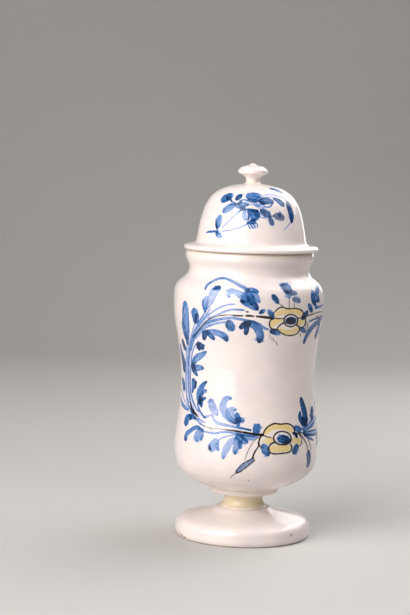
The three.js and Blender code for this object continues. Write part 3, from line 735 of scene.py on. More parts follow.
# A level or upright side longer than STRAIGHT mm stays straight. A sharper turn than CORNER is a
# corner, and rounding takes at most CORNER_SHARE of the sides beside it. Steps are in mm.
STRAIGHT = 3.0
LEVEL = 1e-3
CORNER = math.radians(40)
CORNER_SHARE = 0.3
OUTLINE_STEP = 0.2


def thrown_outline(points, rounding):
    """A node's outline with its curves smoothed and its corners rounded, as radius and height.

    It comes with the distances along it, in mm, at which its runs meet.
    """
    closed = np.allclose(points[0], points[-1])
    if closed:
        points = points[:-1]
    count = len(points)
    steps = [points[(i + 1) % count] - points[i] for i in range(count if closed else count - 1)]
    sizes = [np.linalg.norm(s) for s in steps]
    ways = [s / n for s, n in zip(steps, sizes)]
    level = [min(abs(w)) < LEVEL and n > STRAIGHT for w, n in zip(ways, sizes)]
    # Runs of points between corners and straight sides, with the ways they start and end in
    runs, run, way = [], [], None
    for i in range(count):
        before = ways[i - 1] if i or closed else None
        after = ways[i] if i < len(ways) else None
        if before is None or after is None:
            run.append(points[i])
            if after is None:
                runs.append((run, way, None))
            continue
        turn = math.acos(max(-1.0, min(1.0, float(before @ after))))
        if turn > CORNER:
            cut = min(rounding, CORNER_SHARE * sizes[i - 1], CORNER_SHARE * sizes[i])
            into, out = points[i] - cut * before, points[i] + cut * after
            runs.append((run + [into], way, before))
            runs.append(([into, out], before, after))
            run, way = [out], after
        elif level[i - 1] or level[i]:
            along = before if level[i - 1] else after
            runs.append((run + [points[i]], way, along))
            run, way = [points[i]], along
        else:
            run.append(points[i])
    if closed:
        runs[0] = (run + runs[0][0], way, runs[0][2])
    curve, stops = [], [0.0]
    for run, first, last in runs:
        if len(run) < 2:
            continue
        part = smooth_run(run, OUTLINE_STEP, first, last)
        part[:, 0] = np.maximum(part[:, 0], 0)
        curve.append(part if not curve else part[1:])
        stops.append(stops[-1] + np.sum(np.linalg.norm(np.diff(part, axis=0), axis=1)))
    return np.vstack(curve), np.array(stops)


def distances(curve):
    """How far each point of an outline lies along it, in mm."""
    return np.concatenate([[0], np.cumsum(np.linalg.norm(np.diff(curve, axis=0), axis=1))])


# A run shorter than this, in mm, is a rounded edge, which takes at least so many rows
EDGE_RUN, EDGE_ROWS = 1.5, 4


def row_places(stops, pitch):
    """Where the rows of a sheet lie along an outline: on every stop and evenly between."""
    places = [0.0]
    for low, high in zip(stops[:-1], stops[1:]):
        count = max(1, round((high - low) / pitch))
        if high - low < EDGE_RUN:
            count = max(count, EDGE_ROWS)
        places.extend(np.linspace(low, high, count + 1)[1:])
    return np.array(places)


def leaning(lean, height):
    """The centre's distance from the axis at a height, both in mm."""
    return np.interp(height, [h for h, _ in lean], [d for _, d in lean])


# On a sheet: how near counts as the same place, how near a stroke's edge the plain points stop,
# how near the cut joins points, all in mm, and the area of a face too small to keep
TOUCHING = 1e-6
CLEARANCE = 0.45
JOINING = 1e-5
SLIVER = 1e-9


class Sheet:
    """A piece's surface laid flat: mm round the girth to the right and mm along the outline up."""

    def __init__(self, curve, stops, columns, pitch, girth):
        self.curve, self.girth = curve, girth
        self.along = distances(curve)
        self.rows = row_places(stops * self.along[-1] / stops[-1], pitch)
        self.edges = np.linspace(-math.pi, math.pi, columns + 1) * girth
        self.points, self.faces = [], []
        self.marks = {}

    def radius(self, place):
        """The radius at a place along the outline, in mm."""
        return np.interp(place, self.along, self.curve[:, 0])

    def height(self, place):
        """The height at a place along the outline, in mm."""
        return np.interp(place, self.along, self.curve[:, 1])

    def place(self, height, low, high):
        """How far along the outline a height comes, between two places on the outer wall."""
        inside = (self.along >= low) & (self.along <= high)
        return np.interp(height, self.curve[inside, 1], self.along[inside])

    def rows_between(self, low, high):
        """The rows from one place to another, with those on the two places."""
        return self.rows[(self.rows > low - TOUCHING) & (self.rows < high + TOUCHING)]

    def add_rows(self, low, high):
        """Plain faces from one place along the outline to another."""
        rows = self.rows_between(low, high)
        base, width = len(self.points), len(self.edges)
        for row in rows:
            self.points.extend((x, row) for x in self.edges)
        for i in range(len(rows) - 1):
            for j in range(width - 1):
                a = base + i * width + j
                self.faces.append((a, a + 1, a + width + 1, a + width))

    def add_cut(self, low, high, strokes):
        """Faces from one place to another, cut along the edges of every stroke."""
        rows = self.rows_between(low, high)
        field = np.array([(x, y) for y in rows for x in self.edges])
        rim = ((np.abs(field[:, 0]) > self.edges[-1] - TOUCHING)
               | (field[:, 1] < rows[0] + TOUCHING) | (field[:, 1] > rows[-1] - TOUCHING))
        clear = np.ones(len(field), bool)
        for stroke in strokes:
            clear &= stroke.reach(field, self) < -CLEARANCE
        points = [Vector(p) for p in field[rim | clear]]
        edges = []
        for stroke in strokes:
            for ring in stroke.rings(self):
                first = len(points)
                points.extend(Vector(p) for p in ring)
                edges.extend((first + i, first + (i + 1) % len(ring)) for i in range(len(ring)))
            points.extend(Vector(p) for p in stroke.filling(self))
        corners, _, faces, *_ = geometry.delaunay_2d_cdt(points, edges, [], 0, JOINING, False)
        base = len(self.points)
        self.points.extend((p.x, p.y) for p in corners)
        for a, b, c in faces:
            turn = (corners[b] - corners[a]).cross(corners[c] - corners[a])
            if abs(turn) > SLIVER:
                self.faces.append((base + a, base + b, base + c) if turn > 0 else
                                  (base + a, base + c, base + b))

    def mesh(self, name):
        """The sheet as a mesh: radians across and metres up, with its marks as attributes."""
        made = bpy.data.meshes.new(name)
        across, along = np.array(self.points).T
        flat = np.column_stack([across / self.girth, along * MM, np.zeros(len(across))])
        made.from_pydata(flat.tolist(), [], self.faces)
        for mark, values in self.marks.items():
            layer = made.attributes.new(mark, "FLOAT_VECTOR", "POINT")
            layer.data.foreach_set("vector", np.ascontiguousarray(values, np.float32).ravel())
        return made


# A stroke's stations lie STATION mm apart along its middle, and it is nowhere thinner than
# twice THINNEST. Strokes wider than twice BROAD have more points to their edge. A point that
# isn't near a stroke counts as FAR_OFF mm outside it.
STATION = 0.25
THINNEST = 0.22
BROAD = 0.8
FAR_OFF = 9.0

# How far apart a stroke's points lie along a broad edge, a thin edge and inside, in mm, how many
# there are to a round end, and how far inside the feathered rim the others stay
EDGE_BROAD, EDGE_THIN, INSIDE = 0.9, 1.2, 1.1
END_BROAD, END_THIN = 6, 3
RIM_LEAST, RIM_CLEAR = 0.05, 0.25

# The hand's shake: its share of half the width, its limit in mm, and its two waves as radians
# in a mm and strength
SHAKE_SHARE, SHAKE = 0.06, 0.12
SHAKE_WAVES = ((0.9, 1), (2.3, 0.6))

# Lanes across a stroke, one to a hair, and how much the hairs show in a pigment's strength
LANES = 24
LAST_LANE = LANES - 1.01
HAIRS_SHOW = {COBALT: 0.14, YELLOW: 0.08}
# The range of a shake's phase in radians, and how weak or strong a stroke comes out
PHASES, STRENGTHS = 6.28, (0.94, 1.06)

# Cobalt gathers at a stroke's edge and where the brush was set down or lifted, each as how much
# and over how many mm. Where strokes cross, a share of the weaker adds to the stronger.
POOLED, POOLED_OVER = 0.2, 0.5
THIN_MIDDLE = 0.06
ENDS, ENDS_OVER = 0.12, 1.2
CROSSED = 0.2


class Stroke:
    """One pass of the brush, held as closely spaced stations along its middle."""

    def __init__(self, sheet, pigment, points, low, high, feather, hair, draw):
        self.pigment, self.half_feather, self.hair = pigment, feather / 2, hair
        degrees, heights, widths, tones = np.array(points, float).T
        places = sheet.place(heights, low, high)
        across = np.radians(degrees) * sheet.girth
        scale = (sheet.radius(places) / sheet.girth).mean()
        path = smooth_run(np.column_stack([across * scale, places, widths / 2, tones]), STATION)
        path[:, 0] /= scale
        self.centre, self.half = path[:, :2], np.maximum(path[:, 2], THINNEST)
        self.tone = path[:, 3]
        stretch = sheet.radius(self.centre[:, 1]) / sheet.girth
        way = np.gradient(self.centre, axis=0)
        way[:, 0] *= stretch
        self.way = way / np.linalg.norm(way, axis=1)[:, None]
        steps = np.diff(self.centre, axis=0)
        steps[:, 0] *= stretch[1:]
        self.gone = np.concatenate([[0], np.cumsum(np.linalg.norm(steps, axis=1))])
        # Of the three phases drawn, the third is spare
        phases = draw.uniform(0, PHASES, 3)
        shake = sum(strength * np.sin(self.gone * pace + phase)
                    for (pace, strength), phase in zip(SHAKE_WAVES, phases))
        most = sum(strength for _, strength in SHAKE_WAVES)
        self.half = self.half + np.minimum(SHAKE, SHAKE_SHARE * self.half) * shake / most
        self.hairs = draw.uniform(-1, 1, LANES)
        self.strength = draw.uniform(*STRENGTHS)

    def offsets(self, sheet, stations, amount):
        """Points beside the middle: amount mm to its left at each station."""
        stretch = sheet.radius(self.centre[stations, 1]) / sheet.girth
        way = self.way[stations]
        side = np.column_stack([-way[:, 1] / stretch, way[:, 0]])
        return self.centre[stations] + side * np.asarray(amount)[:, None]

    def stations(self, spacing):
        """Stations about so many mm apart, with both ends and at least three in all."""
        count = max(3, math.ceil(self.gone[-1] / spacing) + 1)
        return np.unique(np.searchsorted(self.gone, np.linspace(0, self.gone[-1], count)).clip(
            0, len(self.gone) - 1))

    def ring(self, sheet, grow):
        """The closed edge of the stroke, grown by some mm, with its round ends."""
        stations = self.stations(EDGE_BROAD if self.half.max() > BROAD else EDGE_THIN)
        wide = self.half[stations] + grow
        left = self.offsets(sheet, stations, wide)
        right = self.offsets(sheet, stations, -wide)[::-1]
        caps = []
        for at, sign, size in ((stations[-1], 1, wide[-1]), (stations[0], -1, wide[0])):
            count = END_THIN if size < BROAD else END_BROAD
            way = self.way[at] * sign
            side = np.array([-way[1], way[0]])
            turns = np.linspace(math.pi / 2, -math.pi / 2, count + 2)[1:-1]
            cap = size * (np.cos(turns)[:, None] * way + np.sin(turns)[:, None] * side)
            cap[:, 0] /= sheet.radius(self.centre[at, 1]) / sheet.girth
            caps.append(self.centre[at] + cap)
        return np.vstack([left, caps[0], right, caps[1]])

    def rings(self, sheet):
        """The outer edge of the feathered rim and, in a stroke wide enough, its inner edge."""
        grown = [self.ring(sheet, self.half_feather)]
        if self.half.min() > self.half_feather + RIM_LEAST:
            grown.append(self.ring(sheet, -self.half_feather))
        return grown

    def filling(self, sheet):
        """Points inside the stroke, in lines that follow the brush's hairs."""
        lines = []
        stations = self.stations(INSIDE)
        widest = self.half.max()
        for lane in range(-LANES // 2, LANES // 2 + 1):
            off = lane * self.hair
            if abs(off) > widest:
                continue
            inside = stations[self.half[stations] - self.half_feather - abs(off) > RIM_CLEAR]
            if len(inside):
                lines.append(self.offsets(sheet, inside, np.full(len(inside), off)))
        return np.vstack(lines) if lines else np.zeros((0, 2))

    def nearest(self, points, sheet):
        """For each point: how far inside the edge it is, its station, and where it is across."""
        stretch = sheet.radius(points[:, 1]) / sheet.girth
        depth = np.full(len(points), -np.inf)
        station = np.zeros(len(points), int)
        at_once = 64
        for first in range(0, len(self.centre), at_once):
            part = slice(first, first + at_once)
            dx = (points[:, None, 0] - self.centre[None, part, 0]) * stretch[:, None]
            dy = points[:, None, 1] - self.centre[None, part, 1]
            inside = self.half[None, part] - np.hypot(dx, dy)
            best = inside.argmax(axis=1)
            value = inside[np.arange(len(points)), best]
            better = value > depth
            depth[better], station[better] = value[better], best[better] + first
        dx = (points[:, 0] - self.centre[station, 0]) * stretch
        dy = points[:, 1] - self.centre[station, 1]
        way = self.way[station]
        return depth, station, way[:, 0] * dy - way[:, 1] * dx

    def close(self, points, margin=1.5):
        """Which points lie near enough to matter."""
        low = self.centre.min(axis=0) - self.half.max() * 2 - margin
        high = self.centre.max(axis=0) + self.half.max() * 2 + margin
        return np.where(((points > low) & (points < high)).all(axis=1))[0]

    def reach(self, points, sheet):
        """How far inside the stroke's edge each point lies, in mm, less than 0 outside it."""
        depth = np.full(len(points), -FAR_OFF)
        near = self.close(points)
        if len(near):
            depth[near] = self.nearest(points[near], sheet)[0]
        return depth

    def lay(self, points, sheet, paint):
        """Add this stroke's colour to what the points already carry."""
        near = self.close(points)
        if not len(near):
            return
        depth, station, across = self.nearest(points[near], sheet)
        cover = np.clip((depth + self.half_feather) / (2 * self.half_feather), 0, 1)
        cover = cover * cover * (3 - 2 * cover)
        tone = self.tone[station] * self.strength
        if self.pigment in HAIRS_SHOW:
            lanes = np.clip(across / self.hair + LANES / 2, 0, LAST_LANE)
            lane = lanes.astype(int)
            share = lanes - lane
            hairs = self.hairs[lane] * (1 - share) + self.hairs[lane + 1] * share
            gathered = 0
            if self.pigment == COBALT:
                to_end = np.minimum(self.gone[station], self.gone[-1] - self.gone[station])
                gathered = (POOLED * np.exp(-np.maximum(depth, 0) / POOLED_OVER) - THIN_MIDDLE
                            + ENDS * np.exp(-to_end / ENDS_OVER))
            tone = tone * (1 + HAIRS_SHOW[self.pigment] * hairs + gathered)
        laid = cover * tone
        had = paint[near, self.pigment]
        paint[near, self.pigment] = np.maximum(had, laid) + CROSSED * np.minimum(had, laid)


def new_tree(name, inputs, output):
    """A Geometry Nodes tree with named sockets, each given as a name and a kind."""
    tree = bpy.data.node_groups.new(name, "GeometryNodeTree")
    for way, sockets in (("INPUT", inputs), ("OUTPUT", (output,))):
        for label, kind in sockets:
            tree.interface.new_socket(label, in_out=way, socket_type="NodeSocket" + kind)
    return tree, node(tree, "NodeGroupInput").outputs


# The wall strays in swells about SWELL high. Within HELD of the axis it strays less and less,
# so the poles stay closed.
SWELL, HELD = 70 * MM, 12 * MM
# The noise that bends a wall: its scale, and the part of its range that is used
WOBBLE_SCALE, WOBBLE_RANGE = 0.8, (0.25, 0.75)
# The noise that makes the rings uneven: its scale, and how far it shifts them in radians
UNEVEN_SCALE, UNEVEN_SHIFT = 1.7, 7.0


def wall_point_group():
    """Geometry Nodes: where a point of the flat sheet lies on the thrown wall."""
    tree, given = new_tree("Wall point", (
        ("Outline", "Geometry"), ("Turn", "Float"), ("Distance", "Float"), ("Wobble", "Float"),
        ("Ring depth", "Float"), ("Ring pitch", "Float"), ("Dent", "Float"), ("Seed", "Float")),
        ("Point", "Vector"))
    sample = node(tree, "GeometryNodeSampleCurve", {
        "Curves": given["Outline"], "Length": given["Distance"]}, mode="LENGTH")
    outline = node(tree, "ShaderNodeSeparateXYZ", {0: sample.outputs["Position"]})
    radius, lean, height = outline.outputs
    sine = node(tree, "ShaderNodeMath", {0: given["Turn"]}, operation="SINE")
    cosine = node(tree, "ShaderNodeMath", {0: given["Turn"]}, operation="COSINE")
    tall = node(tree, "ShaderNodeMath", {0: height, 1: SWELL}, operation="DIVIDE")
    around = node(tree, "ShaderNodeCombineXYZ", {0: sine, 1: cosine, 2: tall})
    # Slow swells bend the wall; finer ones make the finger's rings uneven in depth and pitch
    slow = node(tree, "ShaderNodeTexNoise", {
        "Vector": around, "W": given["Seed"], "Scale": WOBBLE_SCALE, "Detail": 1.0},
        noise_dimensions="4D")
    strayed = node(tree, "ShaderNodeMapRange", {
        0: slow, 1: WOBBLE_RANGE[0], 2: WOBBLE_RANGE[1], 3: -1.0, 4: 1.0})
    strayed = node(tree, "ShaderNodeMath", {0: strayed, 1: given["Wobble"]}, operation="MULTIPLY")
    # The finger's ring climbs by one pitch in a turn, so it meets itself at the sheet's seam
    turns = node(tree, "ShaderNodeMath", {0: height, 1: given["Ring pitch"]}, operation="DIVIDE")
    phase = node(tree, "ShaderNodeMath", {
        0: turns, 1: math.tau, 2: given["Turn"]}, operation="MULTIPLY_ADD")
    uneven = node(tree, "ShaderNodeTexNoise", {
        "Vector": around, "W": given["Seed"], "Scale": UNEVEN_SCALE, "Detail": 1.0},
        noise_dimensions="4D")
    phase = node(tree, "ShaderNodeMath", {
        0: uneven, 1: UNEVEN_SHIFT, 2: phase}, operation="MULTIPLY_ADD")
    ring = node(tree, "ShaderNodeMath", {0: phase}, operation="SINE")
    ring = node(tree, "ShaderNodeMath", {0: ring, 1: uneven}, operation="MULTIPLY")
    ring = node(tree, "ShaderNodeMath", {
        0: ring, 1: given["Ring depth"], 2: strayed}, operation="MULTIPLY_ADD")
    held = node(tree, "ShaderNodeMapRange", {0: radius, 1: 0.0, 2: HELD, 3: 0.0, 4: 1.0})
    moved = node(tree, "ShaderNodeMath", {0: ring, 1: held, 2: radius}, operation="MULTIPLY_ADD")
    moved = node(tree, "ShaderNodeMath", {0: moved, 1: given["Dent"]}, operation="SUBTRACT")
    east = node(tree, "ShaderNodeMath", {0: moved, 1: sine, 2: lean}, operation="MULTIPLY_ADD")
    south = node(tree, "ShaderNodeMath", {0: moved, 1: cosine}, operation="MULTIPLY")
    south = node(tree, "ShaderNodeMath", {0: south, 1: -1.0}, operation="MULTIPLY")
    point = node(tree, "ShaderNodeCombineXYZ", {0: east, 1: south, 2: height})
    node(tree, "NodeGroupOutput", {0: point})
    return tree


# How far to either side the wall is felt for its slope, as radians and metres, and how near
# each other the wrapped sheet's points are welded
PROBE_TURN, PROBE = 0.004, 0.2 * MM
WELD = 0.01 * MM
# A chip deeper than this share keeps the faces' own slope
CHIP_SEEN = 0.01


def thrown_wall_tree():
    """Geometry Nodes: wrap a flat sheet round the axis, weld it and give it the wall's slopes."""
    wall = wall_point_group()
    tree, given = new_tree("Thrown wall", (
        ("Sheet", "Geometry"), ("Outline", "Object"), ("Length", "Float"), ("Wobble", "Float"),
        ("Ring depth", "Float"), ("Ring pitch", "Float"), ("Chip depth", "Float"),
        ("Seed", "Float"), ("Weld", "Float"), ("Glaze", "Material")), ("Wall", "Geometry"))
    outline = node(tree, "GeometryNodeObjectInfo", {"Object": given["Outline"]})
    flat = node(tree, "ShaderNodeSeparateXYZ", {0: node(tree, "GeometryNodeInputPosition")})
    turn, distance = flat.outputs[0], flat.outputs[1]
    surface = node(tree, "GeometryNodeInputNamedAttribute", {"Name": "surface"},
                   data_type="FLOAT_VECTOR")
    chip = node(tree, "ShaderNodeSeparateXYZ", {0: surface}).outputs[2]
    dent = node(tree, "ShaderNodeMath", {0: chip, 1: given["Chip depth"]}, operation="MULTIPLY")
    # On the axis the wall has no sideways direction, so the slope is felt a little off it
    last = node(tree, "ShaderNodeMath", {0: given["Length"], 1: 2 * PROBE}, operation="SUBTRACT")
    felt = node(tree, "ShaderNodeClamp", {0: distance, 1: 2 * PROBE, 2: last})
    points = []
    for sideways, along, base, dented in (
            (0, 0, distance, dent), (-PROBE_TURN, 0, felt, 0.0), (PROBE_TURN, 0, felt, 0.0),
            (0, -PROBE, felt, 0.0), (0, PROBE, felt, 0.0)):
        turned = node(tree, "ShaderNodeMath", {0: turn, 1: sideways}, operation="ADD")
        moved = node(tree, "ShaderNodeMath", {0: base, 1: along}, operation="ADD")
        points.append(node(tree, "GeometryNodeGroup", {
            "Outline": outline.outputs["Geometry"], "Turn": turned, "Distance": moved,
            "Wobble": given["Wobble"], "Ring depth": given["Ring depth"],
            "Ring pitch": given["Ring pitch"], "Dent": dented, "Seed": given["Seed"]},
            node_tree=wall))
    place, *sides = points
    slopes = []
    for before, after in (sides[:2], sides[2:]):
        slope = node(tree, "ShaderNodeVectorMath", {0: after, 1: before}, operation="SUBTRACT")
        slopes.append(node(tree, "ShaderNodeVectorMath", {0: slope}, operation="NORMALIZE"))
    outward = node(tree, "ShaderNodeVectorMath", {0: slopes[0], 1: slopes[1]},
                   operation="CROSS_PRODUCT")
    outward = node(tree, "ShaderNodeVectorMath", {0: outward}, operation="NORMALIZE")
    kept = node(tree, "GeometryNodeStoreNamedAttribute", {
        "Geometry": given["Sheet"], "Name": "outward", "Value": outward},
        data_type="FLOAT_VECTOR", domain="POINT")
    wrapped = node(tree, "GeometryNodeSetPosition", {"Geometry": kept, "Position": place})
    welded = node(tree, "GeometryNodeMergeByDistance", {
        "Geometry": wrapped, "Distance": given["Weld"]})
    outward = node(tree, "GeometryNodeInputNamedAttribute", {"Name": "outward"},
                   data_type="FLOAT_VECTOR")
    # A chip broke away, so there the faces' own slope counts
    broken = node(tree, "ShaderNodeMath", {0: chip, 1: CHIP_SEEN}, operation="GREATER_THAN")
    facing = node(tree, "ShaderNodeMix", {
        0: broken, 4: outward, 5: node(tree, "GeometryNodeInputNormal")}, data_type="VECTOR")
    sloped = node(tree, "GeometryNodeSetMeshNormal", {
        "Mesh": welded, "Custom Normal": facing.outputs[1]}, mode="FREE", domain="POINT")
    plain = node(tree, "GeometryNodeRemoveAttribute", {"Geometry": sloped, "Name": "outward"})
    real = node(tree, "GeometryNodeRealizeInstances", {"Geometry": plain})
    glazed = node(tree, "GeometryNodeSetMaterial", {
        "Geometry": real, "Material": given["Glaze"]})
    node(tree, "NodeGroupOutput", {0: glazed})
    return tree


# A grain's shortest and longest length and its thickness, for a width of 1, and the lengths' seed
GRAIN_LENGTHS, GRAIN_THICKNESS, GRAIN_SEED = (0.7, 1.5), 0.35, 5


def grit_tree():
    """Geometry Nodes: scatter small flat grains over a wall."""
    tree, given = new_tree("Grit", (
        ("Wall", "Geometry"), ("Grains", "Float"), ("Smallest", "Float"), ("Largest", "Float"),
        ("Seed", "Int"), ("Iron", "Material")), ("Grit", "Geometry"))
    scattered = node(tree, "GeometryNodeDistributePointsOnFaces", {
        "Mesh": given["Wall"], "Density": given["Grains"], "Seed": given["Seed"]},
        distribute_method="RANDOM")
    grain = node(tree, "GeometryNodeMeshIcoSphere", {"Radius": 1.0, "Subdivisions": 2})
    size = node(tree, "FunctionNodeRandomValue", {
        2: given["Smallest"], 3: given["Largest"], "Seed": given["Seed"]}, data_type="FLOAT")
    # A grain is up to half again as long as it is wide, and a third as thick
    long = node(tree, "FunctionNodeRandomValue", {
        2: GRAIN_LENGTHS[0], 3: GRAIN_LENGTHS[1], "Seed": GRAIN_SEED}, data_type="FLOAT")
    shape = node(tree, "ShaderNodeCombineXYZ", {0: long, 1: 1.0, 2: GRAIN_THICKNESS})
    shape = node(tree, "ShaderNodeVectorMath", {0: shape, "Scale": size.outputs[1]},
                 operation="SCALE")
    made = node(tree, "GeometryNodeInstanceOnPoints", {
        "Points": scattered.outputs["Points"], "Instance": grain.outputs["Mesh"],
        "Rotation": scattered.outputs["Rotation"], "Scale": shape})
    real = node(tree, "GeometryNodeRealizeInstances", {"Geometry": made})
    smooth = node(tree, "GeometryNodeSetShadeSmooth", {"Geometry": real})
    coloured = node(tree, "GeometryNodeSetMaterial", {
        "Geometry": smooth, "Material": given["Iron"]})
    node(tree, "NodeGroupOutput", {0: coloured})
    return tree


def shared_tree(name, make):
    """The tree of that name, made when it is first asked for."""
    return bpy.data.node_groups.get(name) or make()


def baked(piece, tree, values):
    """Run a tree on a piece with values for its named inputs, and keep the plain mesh."""
    modifier = piece.modifiers.new(tree.name, "NODES")
    modifier.node_group = tree
    for socket in tree.interface.items_tree:
        if socket.in_out == "INPUT" and socket.name in values:
            modifier[socket.identifier] = values[socket.name]
    bpy.context.view_layer.update()
    graph = bpy.context.evaluated_depsgraph_get()
    mesh = bpy.data.meshes.new_from_object(
        piece.evaluated_get(graph), preserve_all_data_layers=True, depsgraph=graph)
    piece.modifiers.clear()
    flat = piece.data
    piece.data = mesh
    bpy.data.meshes.remove(flat)
    mesh.name = piece.name


def new_material(name):
    """An empty material, with its tree and the Object coordinates that its textures read."""
    material = bpy.data.materials.new(name)
    material.use_nodes = True
    tree = material.node_tree
    tree.nodes.clear()
    return material, tree, node(tree, "ShaderNodeTexCoord").outputs["Object"]


# The strength at which cobalt is at the end of its ramp, and the ramp: share of that and colour
COBALT_END = 1.5
COBALT_RAMP = ((0.0, "wash"), (0.2, "wash"), (0.33, "pale"), (0.45, "middle"), (0.61, "dark"),
               (0.82, "deepest"))
GLASS_IOR = 1.52

# Noises by what they are for, as the width of a cloud in mm, detail and roughness
NOISES = {
    "patches": (30, 4.0, 0.6),      # where the glaze ran thin
    "clouds": (4, 3.0, 0.5),        # how it yellowed and how glossy it is
    "blotches": (2.5, 2.0, 0.5),    # watery paint
    "grain": (0.5, 2.0, 0.5),       # the pigment's grain
    "edges": (3, 4.0, 0.65),        # the ragged edge of bare clay
    "clay": (1.2, 5.0, 0.7),        # bare clay's colour and roughness
    "peel": (5, 2.0, 0.35),         # the skin's orange peel
}

# Heights of the bump: orange peel, pinholes and bare clay
PEEL, PINHOLE, GRITTY = 0.035 * MM, 0.05 * MM, 0.12 * MM

# What a noise sways, as the noise, its range and the two values between which it sways. Gloss is
# swayed about the material's own roughness.
SWAYS = {
    "thin": ("patches", 0.38, 0.66, 0.0, 1.0),
    "uneven": ("clouds", 0.3, 0.7, -0.3, 0.3),
    "gloss": ("clouds", 0.3, 0.7, -0.03, 0.05),
    "water": ("blotches", 0.3, 0.7, 0.84, 1.16),
    "fine": ("grain", 0.3, 0.7, 0.92, 1.08),
    "ragged": ("edges", 0.25, 0.75, -0.45, 0.45),
    "clay tone": ("clay", 0.3, 0.7, 0.8, 1.12),
}
# How much of the yellow covers, and the strength from which cobalt hides the white
YELLOW_SHARE, BLUE_FULL = 0.92, 0.3
# Iron specks: the cells that they are drawn in, the share of cells without one, and the largest
# radius and the soft edge as shares of a cell, and how far a speck covers
SPECK_CELL, SPECKLESS, SPECK_RADIUS, SPECK_EDGE, SPECK_COVER = 9 * MM, 0.8, 0.055, 0.012, 0.75
# Pinholes: their cells, and the radii at which a hole is full and gone, as shares of a cell
HOLE_CELL, HOLE_RADII = 7 * MM, (0.015, 0.035)
# The wear between which the glaze is lost, and how rough the clay under it is
LOST_RANGE, CLAY_ROUGHNESS = (0.42, 0.58), 0.85
# The veil of glaze over iron grit: its clouds' width, the part of the noise that is used, and how
# much it veils, least and most; and how rough the grit is
VEIL_CLOUD, VEIL_RANGE, VEIL_SHARES, IRON_ROUGHNESS = 6 * MM, (0.35, 0.65), (0.15, 0.7), 0.25


